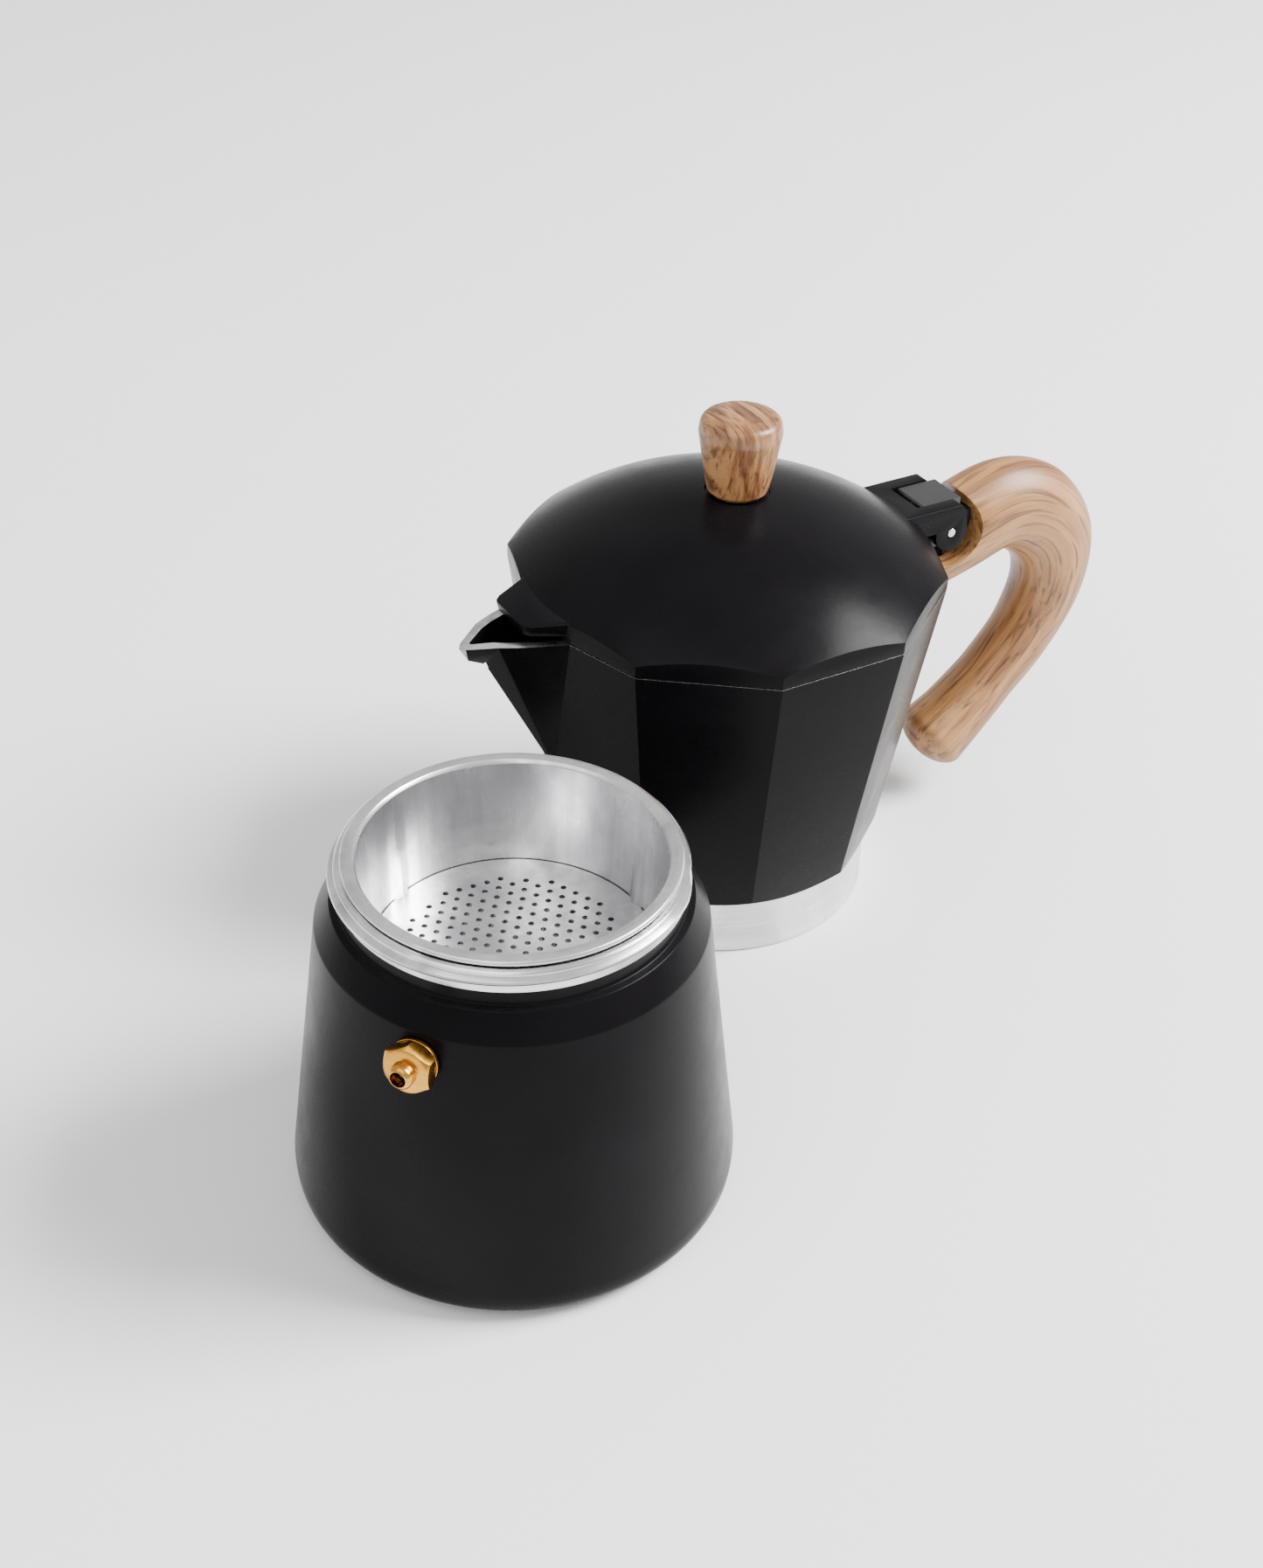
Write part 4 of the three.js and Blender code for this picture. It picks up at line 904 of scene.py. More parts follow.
@dataclass
class Collector:
    """The ten-sided coffee pot with its threaded ring, spout and lug."""

    ring_r: float = 41.65
    ring_h: float = 15.3
    slope: float = 0.86
    low_r: float = 44.38
    low_z: float = 18.1
    rim_r: float = 55.57
    rim_z: float = 89.6
    wall: float = 2.6
    floor_z: float = 21
    seat_z: float = 12.9
    minor_r: float = 37.55
    major_r: float = 38.85
    pocket_r: float = 36.5
    filter_r: float = 30.5
    gasket_r: float = 36.2
    lug_half: float = 4.2
    screw_u: float = 59.6

    @property
    def run(self) -> float:
        """How much the corner radius grows for each millimetre up."""
        return (self.rim_r - self.low_r) / (self.rim_z - self.low_z)

    def corner(self, z: float) -> float:
        """The outside corner radius at a height."""
        return self.low_r + self.run * (z - self.low_z)

    def flats(self, grow: float = 0.0, top: float | None = None, slope: bool = True) -> BMesh:
        """The ten-sided outside as a solid, grown by some millimetres."""
        high = self.rim_z if top is None else top
        reach = self.ring_r + (high - self.ring_h) / self.slope
        cone = [(0, self.ring_h), (self.ring_r, self.ring_h), (reach, high), (0, high)]
        drum = [(0, 0), (90, 0), (90, high), (0, high)]
        bm = turned(cone if slope else drum, 160 if slope else 40)
        return facet_cut(bm, self.corner(0) + grow, 0, self.run)

    def inside(self) -> BMesh:
        """The ten-sided hollow with a rounded floor edge."""
        high = self.rim_z + 4
        drum = [(0, self.floor_z), (80, self.floor_z), (80, high), (0, high)]
        bm = facet_cut(turned(drum, 40), self.corner(0) - self.wall, 0, self.run)
        low = [e for e in bm.edges if all(abs(v.co.z / MM - self.floor_z) < 0.01 for v in e.verts)]
        low = [e for e in low if e.calc_face_angle(0) > 0.5]
        bmesh.ops.bevel(bm, geom=low, offset=4.5 * MM, offset_type="OFFSET", segments=5, profile=0.5,
                        affect="EDGES", material=-1)
        return bm

    def socket(self) -> BMesh:
        """The bore under the floor with its thread, the gasket's pocket and the room above it."""
        z = self.seat_z
        outline: list[Corner] = [(0, -1), (self.major_r + 0.4, -1), (self.major_r + 0.4, 0), (self.minor_r, 1.1)]
        for i in range(2):
            low = 1.6 + 2.8 * i
            outline += [(self.minor_r, low), (self.major_r, low + 0.7, 0.3), (self.major_r, low + 1.3, 0.3),
                        (self.minor_r, low + 2)]
        outline += [(self.minor_r, z - 4.9), (self.major_r, z - 4.5), (self.major_r, z - 3.4),
                    (self.pocket_r, z - 3.1), (self.pocket_r, z), (self.filter_r - 1.5, z),
                    (self.filter_r - 1.5, z + 1, 0.8), (6.3, self.floor_z - 4, 1), (6.3, self.floor_z + 1),
                    (0, self.floor_z + 1)]
        return turned(rounded(outline, 3))

    def finish_of(self, face: BMFace) -> int:
        """Paint on the flats, bare metal on the ring and inside, rubbed metal on the rim."""
        c = face.calc_center_median() / MM
        r = math.hypot(c.x, c.y)
        outward = face.normal.x * c.x + face.normal.y * c.y
        if c.z < self.ring_h + 0.1:
            return 1
        on_flat = r > (self.corner(c.z) - 1) * math.cos(math.pi / 10) - 0.6
        lip = c.x < -(self.rim_r + 8) and c.z > self.rim_z - 2 and face.normal.z > 0.4
        if lip or c.z > self.rim_z - 0.5 or c.x < 1.2 - 74.4:
            return 2
        if not on_flat or (outward < 0 and abs(face.normal.z) < 0.7 and c.x > -self.rim_r * 0.9):
            return 3
        return 0

    def build(self, bench: Bench, spout: "Spout") -> None:
        """Makes the pot's body.

        Args:
            bench: where the piece goes.
            spout: the spout that grows from it.
        """
        lug = slab((self.corner(75) - self.wall - 1, 66), (-self.lug_half, self.lug_half), (75, 83.7))
        made = joined(self.flats(), [
            (Join.ADD, disc(self.ring_r, 0, self.ring_h + 2, 160, 0.4)),
            (Join.ADD, spout.outside()),
            (Join.ADD, lug),
            (Join.CUT, self.inside()),
            (Join.CUT, spout.channel()),
            (Join.CUT, self.socket()),
            (Join.CUT, shifted(disc(2.2, 70, 86, 32), self.screw_u)),
        ])
        softened(made, 0.45, 24, 3)
        bench.put("collector_body_fine", made, Body.COLLECTOR, ["paint", "ring", "edge", "plain"],
                  ["collector_body"], self.finish_of, 30, True)


@dataclass
class Spout:
    """The pointed pouring lip, with distances out from the collector's axis towards -X."""

    rim_z: float = 89.6
    root: tuple[float, float] = (51.4, 12.8)
    waist: tuple[float, float] = (62.6, 8.4)
    lip: tuple[float, float] = (67, 6.2)
    tip: float = 74.4
    tip_drop: float = 1.6
    nose_drop: float = 5.6
    keel: tuple[float, float] = (67.6, 7.8)
    foot_r: float = 48.39
    foot_z: float = 43.7
    wall: float = 1.9

    @staticmethod
    def pair(x: float, y: float, z: float) -> list[tuple[float, float, float]]:
        """A point and its twin on the other side."""
        return [(-x, y, z), (-x, -y, z)]

    def outside(self) -> BMesh:
        """The beak: a pointed lip over a keel that runs down the front corner."""
        top = self.rim_z
        keel_z = top - self.keel[1]
        beak = hull([
            *self.pair(self.root[0] - 3, self.root[1], top), *self.pair(*self.root, top),
            *self.pair(*self.waist, top), *self.pair(*self.lip, top), (-self.keel[0], 0, keel_z),
            (-(self.foot_r - 0.5), 0, self.foot_z), *self.pair(self.root[0] - 6, 2, self.foot_z + 6),
        ])
        lip = hull([
            *self.pair(*self.waist, top), *self.pair(*self.lip, top),
            *self.pair(self.tip - 1, 1.6, top - self.tip_drop * 0.8), (-self.tip, 0, top - self.tip_drop),
            (-(self.tip - 2.4), 0, top - self.nose_drop), (-self.keel[0], 0, keel_z),
            (-self.waist[0], 0, keel_z),
        ])
        return joined(beak, [(Join.ADD, lip)])

    def channel(self) -> BMesh:
        """The hollow of the lip, open to the pot."""
        above, w = self.rim_z + 2, self.wall
        bm = hull([
            *self.pair(self.root[0] - 8, self.root[1] - w, above), *self.pair(self.root[0], self.root[1] - w, above),
            *self.pair(self.waist[0], self.waist[1] - w, above), (-(self.tip - w), 0, above),
            (-(self.tip - w - 0.5), 0, self.rim_z - self.tip_drop - 1),
            (-(self.keel[0] - w), 0, self.rim_z - self.keel[1] + 1.5),
            (-(self.keel[0] - 2 * w - 9), 0, self.rim_z - 28), (-(self.root[0] - 8), 0, self.rim_z - 30),
        ])
        return softened(bm, 1.2, 20, 3)


@dataclass
class BrewColumn:
    """The column that the coffee rises through, with its cap, the seal and the filter plate."""

    foot: float = 17.4
    flare_z: float = 21.3
    flare_r: float = 9.2
    column_r: float = 7.2
    top_r: float = 4.6
    top_z: float = 72
    wall: float = 1.2
    cap_h: float = 7
    cap_skirt: float = 4
    cap_r: float = 6.1
    slot_half: float = 1.5

    def column(self) -> BMesh:
        """The tapered tube with its flared foot."""
        socket = self.column_r - self.wall
        mid = (socket - self.wall, 45)
        outline = [
            mid, (socket - self.wall, self.foot), (socket, self.foot, 0.2), (socket, self.flare_z),
            (self.flare_r, self.flare_z, 0.3), (self.column_r, self.flare_z + 3, 2.5),
            (self.top_r, self.top_z, 0.3), (self.top_r - self.wall, self.top_z, 0.3), mid,
        ]
        return turned(rounded(outline)[:-1], 64, closed=True)

    def cap(self) -> BMesh:
        """The domed cap with a slot right across for the coffee."""
        inner = self.cap_r - self.wall
        low, high = self.top_z - self.cap_skirt, self.top_z + self.cap_h
        outline = [
            (inner + 0.2, low), (self.cap_r, low, 0.3), (self.cap_r, high - 0.2, 2.2), (0, high),
            (0, high - self.wall), (inner, high - self.wall - 0.4, 1.4), (inner, self.top_z), (inner + 0.2, low),
        ]
        shell = turned(rounded(outline)[:-1], 64, closed=True)
        slot = slab((-20, 20), (-self.slot_half, self.slot_half), (self.top_z + 0.8, high - 3))
        return softened(joined(shell, [(Join.CUT, slot)]), 0.15, 40, 2)

    def build(self, bench: Bench, pot: Collector) -> None:
        """Makes the column's pieces and what closes the pot's underside."""
        bench.put("coffee_column_fine", self.column(), Body.COLLECTOR, ["plain"],
                  ["coffee_column"], on_collector=True)
        bench.put("column_cap_fine", self.cap(), Body.COLLECTOR, ["plain"],
                  ["column_cap"], on_collector=True)
        low = pot.seat_z - GAP - 2.6
        high = pot.seat_z - GAP
        step = high - 1.4
        mid = (32, low)
        ring = [mid, (pot.gasket_r, low, 0.5), (pot.gasket_r, high, 0.4), (pot.filter_r + GAP, high, 0.2),
                (pot.filter_r + GAP, step), (pot.filter_r - 2.4, step, 0.3), (pot.filter_r - 2.4, low, 0.5), mid]
        bench.put("gasket_fine", turned(rounded(ring)[:-1], closed=True), Body.COLLECTOR,
                  ["silicone"], ["gasket"], on_collector=True)
        plate = sieve(pot.filter_r, 26.5, high - 1.1, high, 2.9, 0.55, 12)
        bench.put("filter_plate_fine", plate, Body.COLLECTOR, ["plain"],
                  ["filter_plate"], on_collector=True)


# ---------------------------------------------------------------- lid


@dataclass
class Hinge:
    """The lid's hinge: its frame on the lid, the block in its window and the pin."""

    pin_u: float = 63.4
    pin_z: float = 89.8
    pin_r: float = 1.25
    half: float = 10
    chamfer: float = 2.1
    top: float = 7.6
    window_u: float = 54.3
    window_half: float = 6
    eye_r: float = 5
    relief_r: float = 10.4
    block_r: float = 9.9
    block_front: float = 56.3
    block_back: float = 68.5
    block_foot: float = 84
    tenon: tuple[float, float, float] = (80, 4.4, 92)

    def side_outline(self) -> list[tuple[float, float]]:
        """The rails' side view, with the round eye under the pin."""
        top = self.pin_z + self.top
        points = rounded([(43, self.pin_z + 1.4), (43, top), (self.pin_u + 2.6, top, 1.4),
                          (self.pin_u + 4.1, top - self.chamfer, 1.6), (self.pin_u + self.eye_r, self.pin_z)], 4)
        arcs = 20
        for i in range(1, arcs + 1):
            a = -math.pi * i / arcs
            points.append((self.pin_u + self.eye_r * math.cos(a), self.pin_z + self.eye_r * math.sin(a)))
        points.append((self.pin_u - self.eye_r, self.pin_z + 0.8))
        return points

    def frame(self) -> BMesh:
        """The raised frame on the lid, with its long upper edges chamfered."""
        bm = extruded(self.side_outline(), self.half)
        high = (self.pin_z + self.top - 0.1) * MM
        long_edges = [e for e in bm.edges if abs(e.verts[0].co.y - e.verts[1].co.y) < 1e-6
                      and min(v.co.z for v in e.verts) > high and e.calc_face_angle(0) > 1]
        bmesh.ops.bevel(bm, geom=long_edges, offset=self.chamfer * MM, offset_type="OFFSET", segments=3,
                        profile=0.5, affect="EDGES", clamp_overlap=True, material=-1)
        return bm

    def block(self) -> BMesh:
        """The moulded block that fills the window and is let into the handle."""
        high = self.pin_z + self.top - GAP
        start = math.pi - math.asin((high - self.pin_z) / self.block_r)
        end = math.pi - math.acos((self.pin_u - self.block_front) / self.block_r)
        arcs = 8
        outline = [(self.block_back, high)]
        for i in range(arcs + 1):
            a = start + (end - start) * i / arcs
            outline.append((self.pin_u + self.block_r * math.cos(a), self.pin_z + self.block_r * math.sin(a)))
        outline += [(self.block_front, self.block_foot), (self.block_back, self.block_foot)]
        body = extruded(outline, self.window_half - GAP)
        reach, half, top = self.tenon
        made = joined(body, [
            (Join.ADD, slab((self.block_back - 2, reach), (-half, half), (self.block_foot, top))),
            (Join.CUT, cross_bar(self.pin_r + GAP, self.pin_u, self.pin_z, 12)),
            (Join.CUT, shifted(disc(2.2, 70, 87.3, 32), 59.6)),
        ])
        return softened(made, 0.5, 35, 3)

    def build(self, bench: Bench) -> None:
        """Makes the block and the pin."""
        bench.put("hinge_block_fine", self.block(), Body.COLLECTOR, ["plastic"],
                  ["hinge_block"], on_collector=True)
        pin = cross_bar(self.pin_r, self.pin_u, self.pin_z, self.half + 0.2, 0.35)
        bench.put("hinge_pin_fine", pin, Body.COLLECTOR, ["steel"], ["hinge_pin"], on_collector=True)


@dataclass
class Lid:
    """The domed ten-sided lid with its thumb tab and hinge frame."""

    rim_r: float = 55.57
    low: float = 89.9
    dome_r: float = 88.23
    dome_c: float = 24.27
    crown: float = 112.5
    wall: float = 2.4
    lip_r: float = 52.47
    lip_low: float = 88.4
    tab_out: float = 61.2
    tab_half: float = 8.5
    tab_top: float = 94.5
    tab_t: float = 3.2
    tab_root: tuple[float, float] = (50, 13)
    knob_u: float = 2
    spot_r: float = 8.2

    def dome(self, radius: float, reach: float, low: float, steps: int = 24) -> list[tuple[float, float]]:
        """The half section of a dome that is closed below."""
        points = [(0.0, low), (reach, low)]
        for i in range(steps + 1):
            r = reach * (1 - i / steps)
            points.append((r, self.dome_c + math.sqrt(radius**2 - r**2)))
        return points

    def tab(self) -> BMesh:
        """The flat thumb tab over the spout."""
        (x, y), high, t = self.tab_root, self.tab_top, self.tab_t
        pair = Spout.pair
        bm = hull([
            *pair(self.tab_out, self.tab_half - 1.5, high), *pair(self.tab_out - 1.5, self.tab_half, high),
            *pair(self.tab_out - 0.6, self.tab_half - 2, high - t), *pair(self.tab_out - 2, self.tab_half - 0.6, high - t),
            *pair(x, y, high + 0.8), *pair(x, y - 0.6, high - t), *pair(x - 4, y - 1, self.low + 1),
            *pair(x - 4, y - 1, high + 0.8),
        ])
        return softened(bm, 0.7, 20, 3)

    def finish_of(self, face: BMFace) -> int:
        """Paint, with rubbed metal along the lower edge of the ten sides."""
        c = face.calc_center_median() / MM
        outside = math.hypot(c.x, c.y) > (self.lip_r + 0.4) * math.cos(math.pi / 10)
        clear = abs(c.y) > 11 or abs(c.x) < 50
        return 1 if outside and clear and self.low - 0.05 < c.z < self.low + 0.34 else 0

    def build(self, bench: Bench, hinge: Hinge) -> None:
        """Makes the lid.

        Args:
            bench: where the piece goes.
            hinge: the hinge whose frame grows from the lid.
        """
        outside = facet_cut(turned(self.dome(self.dome_r, self.rim_r + 2, self.low), 160), self.rim_r, 0, 0)
        lip = facet_cut(turned([(0, self.lip_low), (70, self.lip_low), (70, self.low + 1), (0, self.low + 1)], 40),
                        self.lip_r, 0, 0)
        hollow = facet_cut(turned(self.dome(self.dome_r - self.wall, self.rim_r, self.lip_low - 1), 96),
                           self.lip_r - self.wall, 0, 0)
        half = hinge.window_half
        room = slab((29, hinge.pin_u - hinge.eye_r), (-20, 20), (self.low - 3, self.low))
        ears = joined(hinge.frame(), [(Join.CUT, room)])
        knob_hole = shifted(disc(2.2, self.crown - 20, self.crown + 5, 32), self.knob_u)
        spot = shifted(disc(self.spot_r, self.crown - 1, self.crown + 5, 64), self.knob_u)
        made = joined(outside, [
            (Join.ADD, lip),
            (Join.ADD, self.tab()),
            (Join.ADD, ears),
            (Join.CUT, hollow),
            (Join.CUT, cross_bar(hinge.relief_r, hinge.pin_u, hinge.pin_z, half, sides=96)),
            (Join.CUT, slab((hinge.window_u, hinge.pin_u + 20), (-half, half), (69.8, 109.8))),
            (Join.CUT, knob_hole),
            (Join.CUT, spot),
            (Join.CUT, cross_bar(hinge.pin_r + GAP, hinge.pin_u, hinge.pin_z, 20)),
        ])
        softened(made, 0.4, 24, 3)
        bench.put("lid_fine", made, Body.LID, ["paint", "edge"], ["lid"], self.finish_of, 30, True)


@dataclass
class Knob:
    """The flared wooden knob with the screw and washer that hold it."""

    at_u: float = 2
    foot_z: float = 111.8
    foot_r: float = 7.6
    waist_r: float = 8.8
    head_r: float = 10.4
    height: float = 21
    washer_top: float = 109.3
    washer_r: float = 4.6
    head: tuple[float, float, float] = (3.9, 105.9, 108.1)
    shank_r: float = 1.9
    shank_top: float = 121.8

    def build(self, bench: Bench) -> None:
        """Makes the knob, the washer and the screw."""
        z, top = self.foot_z, self.foot_z + self.height
        outline = [
            (0, z), (self.foot_r - 1.2, z, 0.3), (self.foot_r, z + 1.2, 1.2),
            (self.waist_r, z + self.height / 3, 30), (self.head_r, top - 4.4, 6),
            (self.head_r - 0.6, top - 0.9, 2.6), (self.head_r / 2, top - 0.15, 30), (0, top),
        ]
        wood = joined(turned(rounded(outline, 8), 96), [(Join.CUT, disc(2.2, z - 1, self.shank_top + GAP, 32))])
        bench.put("lid_knob_fine", shifted(wood, self.at_u), Body.LID, ["knob"], ["lid_knob"],
                  on_collector=True)
        ring = washer(2.2, self.washer_r, self.washer_top - 0.9, self.washer_top)
        bench.put("knob_washer_fine", shifted(ring, self.at_u), Body.LID, ["steel"],
                  ["knob_washer"], on_collector=True)
        r, low, high = self.head
        screw = turned(rounded([(0, low), (r - 0.4, low, 0.6), (r, low + 1, 0.8), (r, high, 0.2),
                                (self.shank_r, high), (self.shank_r, self.shank_top, 0.4),
                                (0, self.shank_top)]), SMALL)
        screw = joined(screw, [(Join.CUT, slab((-5, 5), (-0.5, 0.5), (low - 1, low + 0.8)))])
        bench.put("knob_screw_fine", shifted(screw, self.at_u), Body.LID, ["steel"],
                  ["knob_screw"], on_collector=True)


# ---------------------------------------------------------------- handle


@dataclass
class Handle:
    """The swept wooden grip, its screw and its washer."""

    # out from the collector's axis, up, half height, half width
    path: tuple[tuple[float, float, float, float], ...] = (
        (54.7, 80.6, 13.6, 11),
        (71.5, 84.3, 12.8, 10.8),
        (87, 88.2, 12.6, 10.8),
        (98.3, 84.1, 13, 11.2),
        (106.8, 73.8, 12.2, 10.9),
        (108.35, 60.3, 10.65, 10),
        (102.1, 44.9, 9.4, 9.1),
        (91.2, 32, 8.9, 8.8),
        (80.6, 21.9, 9.7, 9.6),
        (74.4, 17, 10.4, 10.4),
    )
    sides: int = 48
    stations: int = 72
    end_push: float = 6.4
    wood_lip_z: float = 79.8
    recess_r: float = 10.2

    def at(self, t: float) -> Vector:
        """The centre line's point at a share of its length in sections.

        Args:
            t: from 0 at the pot to 1 at the lower end.

        Returns:
            The point in X and Z, on a centripetal curve through the path's points.
        """
        points = [Vector(p[:2]) for p in self.path]
        points = [2 * points[0] - points[1], *points, 2 * points[-1] - points[-2]]
        sections = len(self.path) - 1
        i = min(int(t * sections), sections - 1)
        w = t * sections - i
        p0, p1, p2, p3 = points[i:i + 4]
        d0, d1, d2 = ((b - a).length ** 0.5 for a, b in ((p0, p1), (p1, p2), (p2, p3)))
        t1 = ((p1 - p0) / d0 - (p2 - p0) / (d0 + d1) + (p2 - p1) / d1) * d1
        t2 = ((p2 - p1) / d1 - (p3 - p1) / (d1 + d2) + (p3 - p2) / d2) * d1
        c2 = -3 * p1 + 3 * p2 - 2 * t1 - t2
        c3 = 2 * p1 - 2 * p2 + t1 + t2
        return p1 + t1 * w + c2 * w * w + c3 * w**3

    def section(self, t: float, scale: float = 1.0, push: float = 0.0) -> Matrix:
        """Carries a unit circle to the grip's section.

        Args:
            t: place along the centre line.
            scale: size against the full section.
            push: millimetres beyond that place.

        Returns:
            The matrix, in metres.
        """
        here, step = self.at(t), 1e-3
        along = (self.at(min(1, t + step)) - self.at(max(0, t - step))).normalized()
        place = t * (len(self.path) - 1)
        i = min(int(place), len(self.path) - 2)
        w = place - i
        tall, wide = (self.path[i][k] * (1 - w) + self.path[i + 1][k] * w for k in (2, 3))
        here = here + along * push
        columns = ((-along.y * tall * scale, 0, along.x * tall * scale), (0, wide * scale, 0),
                   (along.x, 0, along.y))
        matrix = Matrix.Translation((here.x * MM, 0, here.y * MM))
        turn = Matrix([[columns[c][r] * MM for c in range(3)] for r in range(3)]).to_4x4()
        return matrix @ turn

    def grip(self) -> BMesh:
        """The whole grip before anything is let into it."""
        bm = bmesh.new()
        places = [(i / self.stations, 1.0, 0.0) for i in range(self.stations + 1)]
        arcs = 10
        for i in range(1, arcs + 1):
            a = i / arcs * math.pi / 2 * 0.97
            places.append((1.0, math.cos(a), self.end_push * math.sin(a)))
        now = self.section(*places[0])
        start = bmesh.ops.create_circle(bm, cap_ends=True, segments=self.sides, radius=1)["verts"]
        bmesh.ops.transform(bm, matrix=now, verts=start)
        edges = list({e for v in start for e in v.link_edges})
        for place in places[1:]:
            ahead = self.section(*place)
            grown = bmesh.ops.extrude_edge_only(bm, edges=edges)["geom"]
            verts = [v for v in grown if isinstance(v, bmesh.types.BMVert)]
            edges = [e for e in grown if isinstance(e, bmesh.types.BMEdge)]
            bmesh.ops.transform(bm, matrix=ahead @ now.inverted(), verts=verts)
            now = ahead
        bmesh.ops.contextual_create(bm, geom=edges)
        bmesh.ops.recalc_face_normals(bm, faces=bm.faces)
        return bm

    def rooms(self, pot: Collector, hinge: Hinge) -> list[tuple[Join, BMesh]]:
        """What the wood leaves free: the flats, the hinge, the block, the lug and the screw."""
        u, z, side, high = hinge.pin_u, hinge.pin_z, 20, 119.6
        low = hinge.block_foot - GAP
        reach, half, top = hinge.tenon
        boxes = [
            ((u - side, u), (-side, side), (self.wood_lip_z, high)),
            ((u - 1, u + 4.4), (-side, side), (z, high)),
            ((u - side, hinge.block_back + GAP), (-hinge.window_half, hinge.window_half), (low, high)),
            ((u, reach + GAP), (-half - GAP, half + GAP), (low, top + GAP)),
            ((u - side, 66.3), (-4.5, 4.5), (74.7, hinge.block_foot)),
        ]
        return [
            (Join.CUT, pot.flats(GAP + 0.1, high, slope=False)),
            (Join.CUT, cross_bar(self.recess_r, u, z, side, sides=96)),
            *((Join.CUT, slab(*limits)) for limits in boxes),
            (Join.CUT, shifted(disc(2.2, 0, 75, 32), pot.screw_u)),
            (Join.CUT, shifted(disc(3.6, 0, 72.5, 32), pot.screw_u)),
        ]

    def grain(self, piece: bpy.types.Object, axis: tuple[float, float]) -> None:
        """Stores, for each vertex, its way along the grip and its place across it, in metres.

        Args:
            piece: the finished grip.
            axis: the collector's axis.
        """
        samples = 160
        line = [self.at(i / samples) for i in range(samples + 1)]
        way = [0.0]
        for a, b in zip(line, line[1:]):
            way.append(way[-1] + (b - a).length)
        store = piece.data.attributes.new("grain", "FLOAT_VECTOR", "POINT")
        for i, vert in enumerate(piece.data.vertices):
            here = Vector((vert.co.x / MM - axis[0], vert.co.z / MM))
            k = min(range(samples + 1), key=lambda n: (line[n] - here).length_squared)
            a, b = line[max(0, k - 1)], line[min(samples, k + 1)]
            along = (b - a).normalized()
            off = here - line[k]
            across = along.x * off.y - along.y * off.x
            store.data[i].vector = ((way[k] + off.dot(along)) * MM, vert.co.y - axis[1] * MM, across * MM)

    def build(self, bench: Bench, pot: Collector, hinge: Hinge) -> None:
        """Makes the grip, the washer and the screw."""
        wood = softened(joined(self.grip(), self.rooms(pot, hinge)), 0.4, 40, 2)
        piece = bench.put("handle_fine", wood, Body.COLLECTOR, ["handle"], ["handle"],
                          smooth=35, on_collector=True)
        self.grain(piece, bench.axis)
        ring = shifted(washer(2.2, 3.3, 71.6, 72.2), pot.screw_u)
        bench.put("handle_washer_fine", ring, Body.COLLECTOR, ["steel"], ["handle_washer"],
                  on_collector=True)
        outline = [(0, 69.5), (2.6, 69.5, 0.6), (3.3, 70.3, 0.6), (3.3, 71.3, 0.1), (1.9, 71.3),
                   (1.9, 87, 0.3), (0, 87)]
        screw = joined(turned(rounded(outline), SMALL), [(Join.CUT, slab((-4, 4), (-0.4, 0.4), (69, 70.1)))])
        bench.put("handle_screw_fine", shifted(screw, pot.screw_u), Body.COLLECTOR, ["steel"],
                  ["handle_screw"], on_collector=True)


# ---------------------------------------------------------------- studio


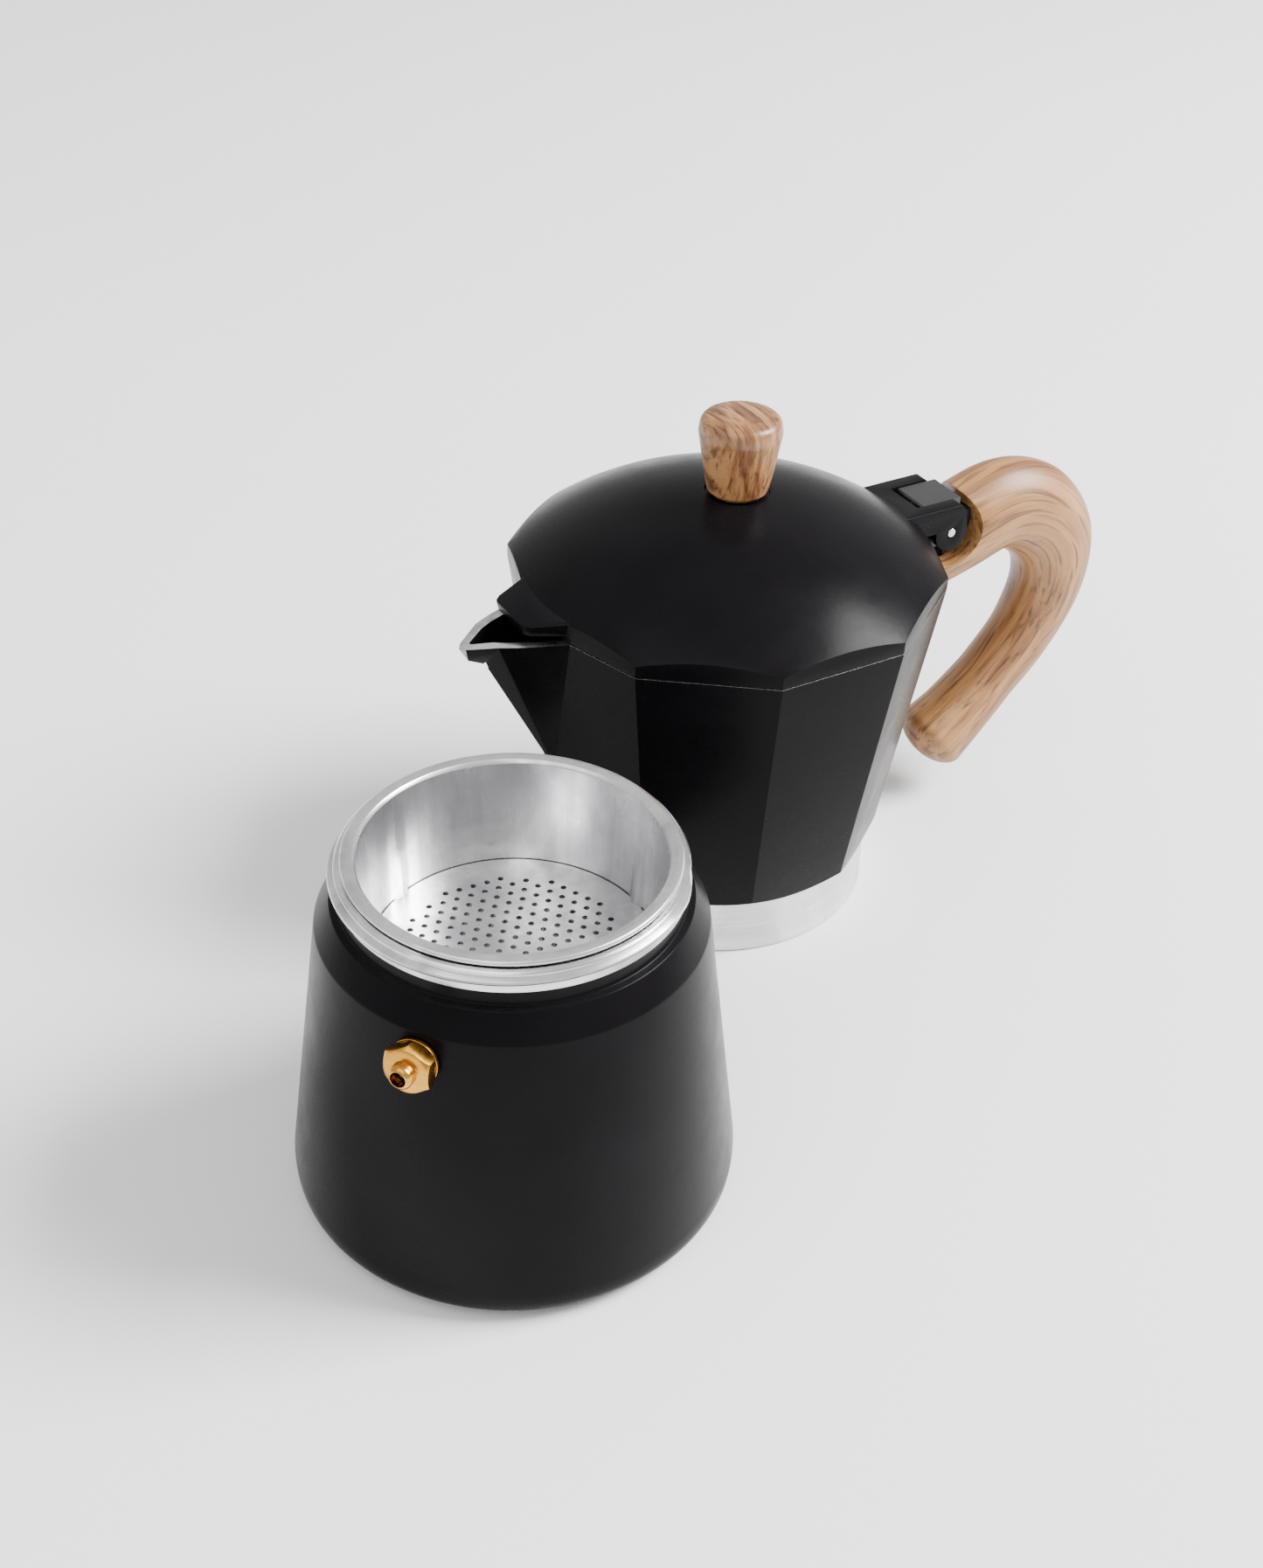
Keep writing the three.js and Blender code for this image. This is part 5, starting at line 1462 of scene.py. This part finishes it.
@dataclass
class Studio:
    """A pale seamless floor, soft light from the handle's side, and the camera."""

    eye: Colour = (-0.151518, -0.301627, 0.347597)
    back: Colour = (-0.4156, -0.6979, 0.5832)
    right: Colour = (0.8592, -0.5116, 0.0)
    roll: float = 1.84
    lens: float = 47.18
    floor_half: float = 6.0
    key_at: Colour = (1.40, -0.58, 1.38)
    key_watts: float = 128
    key_size: float = 0.9
    fill_at: Colour = (-0.9, -0.5, 1.5)
    fill_watts: float = 16
    fill_size: float = 1.6
    sky: float = 0.92

    def floor(self) -> None:
        """The floor, a little warm, with hardly visible mottling."""
        bm = bmesh.new()
        bmesh.ops.create_grid(bm, x_segments=4, y_segments=4, size=self.floor_half)
        bmesh.ops.translate(bm, vec=(0, 0, -0.0002), verts=bm.verts)
        ground = as_object("studio_floor", bm)
        g = Graph("pale_floor")
        tone = g.noise(g.place(), 3, 2)
        g.finish(Base_Color=g.mix(g.span(tone, 0, 1), (0.85, 0.85, 0.85), (0.87, 0.87, 0.87)),
                 Roughness=0.7, Specular_IOR_Level=0.2)
        ground.data.materials.append(g.material)

    def lamp(self, name: str, at: Colour, watts: float, size: float) -> None:
        """A square soft light aimed at the pot."""
        light = bpy.data.lights.new(name, "AREA")
        light.energy = watts
        light.size = size
        thing = bpy.data.objects.new(name, light)
        bpy.context.scene.collection.objects.link(thing)
        thing.location = at
        aim = Vector((0.05, 0.04, 0.05)) - Vector(at)
        thing.rotation_euler = aim.to_track_quat("-Z", "Y").to_euler()

    def camera(self) -> None:
        """The camera, a little rolled."""
        data = bpy.data.cameras.new("view")
        data.lens = self.lens
        data.sensor_width = 36
        data.sensor_fit = "AUTO"
        data.clip_start = 0.01
        thing = bpy.data.objects.new("view", data)
        bpy.context.scene.collection.objects.link(thing)
        back, right = Vector(self.back).normalized(), Vector(self.right).normalized()
        up = back.cross(right)
        c, s = math.cos(math.radians(self.roll)), math.sin(math.radians(self.roll))
        turned_right, turned_up = c * right + s * up, c * up - s * right
        turn = Matrix((turned_right, turned_up, back)).transposed().to_4x4()
        thing.matrix_world = Matrix.Translation(self.eye) @ turn
        bpy.context.scene.camera = thing

    def build(self) -> None:
        """Sets up the floor, the light and the camera."""
        self.floor()
        self.lamp("key", self.key_at, self.key_watts, self.key_size)
        self.lamp("fill", self.fill_at, self.fill_watts, self.fill_size)
        world = bpy.data.worlds.new("studio")
        world.use_nodes = True
        world.node_tree.nodes["Background"].inputs["Color"].default_value = (1, 1, 1, 1)
        world.node_tree.nodes["Background"].inputs["Strength"].default_value = self.sky
        bpy.context.scene.world = world
        self.camera()


def main() -> None:
    """Builds the pot round its frame."""
    logging.basicConfig(level=logging.INFO, format="%(message)s")
    low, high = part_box("coffee_column")
    axis = ((low[0] + high[0]) / 2 / MM, (low[1] + high[1]) / 2 / MM)
    Studio().build()
    finishes = Finishes(axis)
    finishes.build()
    bench = Bench(finishes, axis)
    valve, pot, spout, hinge = SafetyValve(), Collector(), Spout(), Hinge()
    Boiler().build(bench, valve.hole())
    valve.build(bench)
    Funnel().build(bench)
    pot.build(bench, spout)
    BrewColumn().build(bench, pot)
    hinge.build(bench)
    Lid().build(bench, hinge)
    Knob().build(bench)
    Handle().build(bench, pot, hinge)


if __name__ == "__main__":
    main()
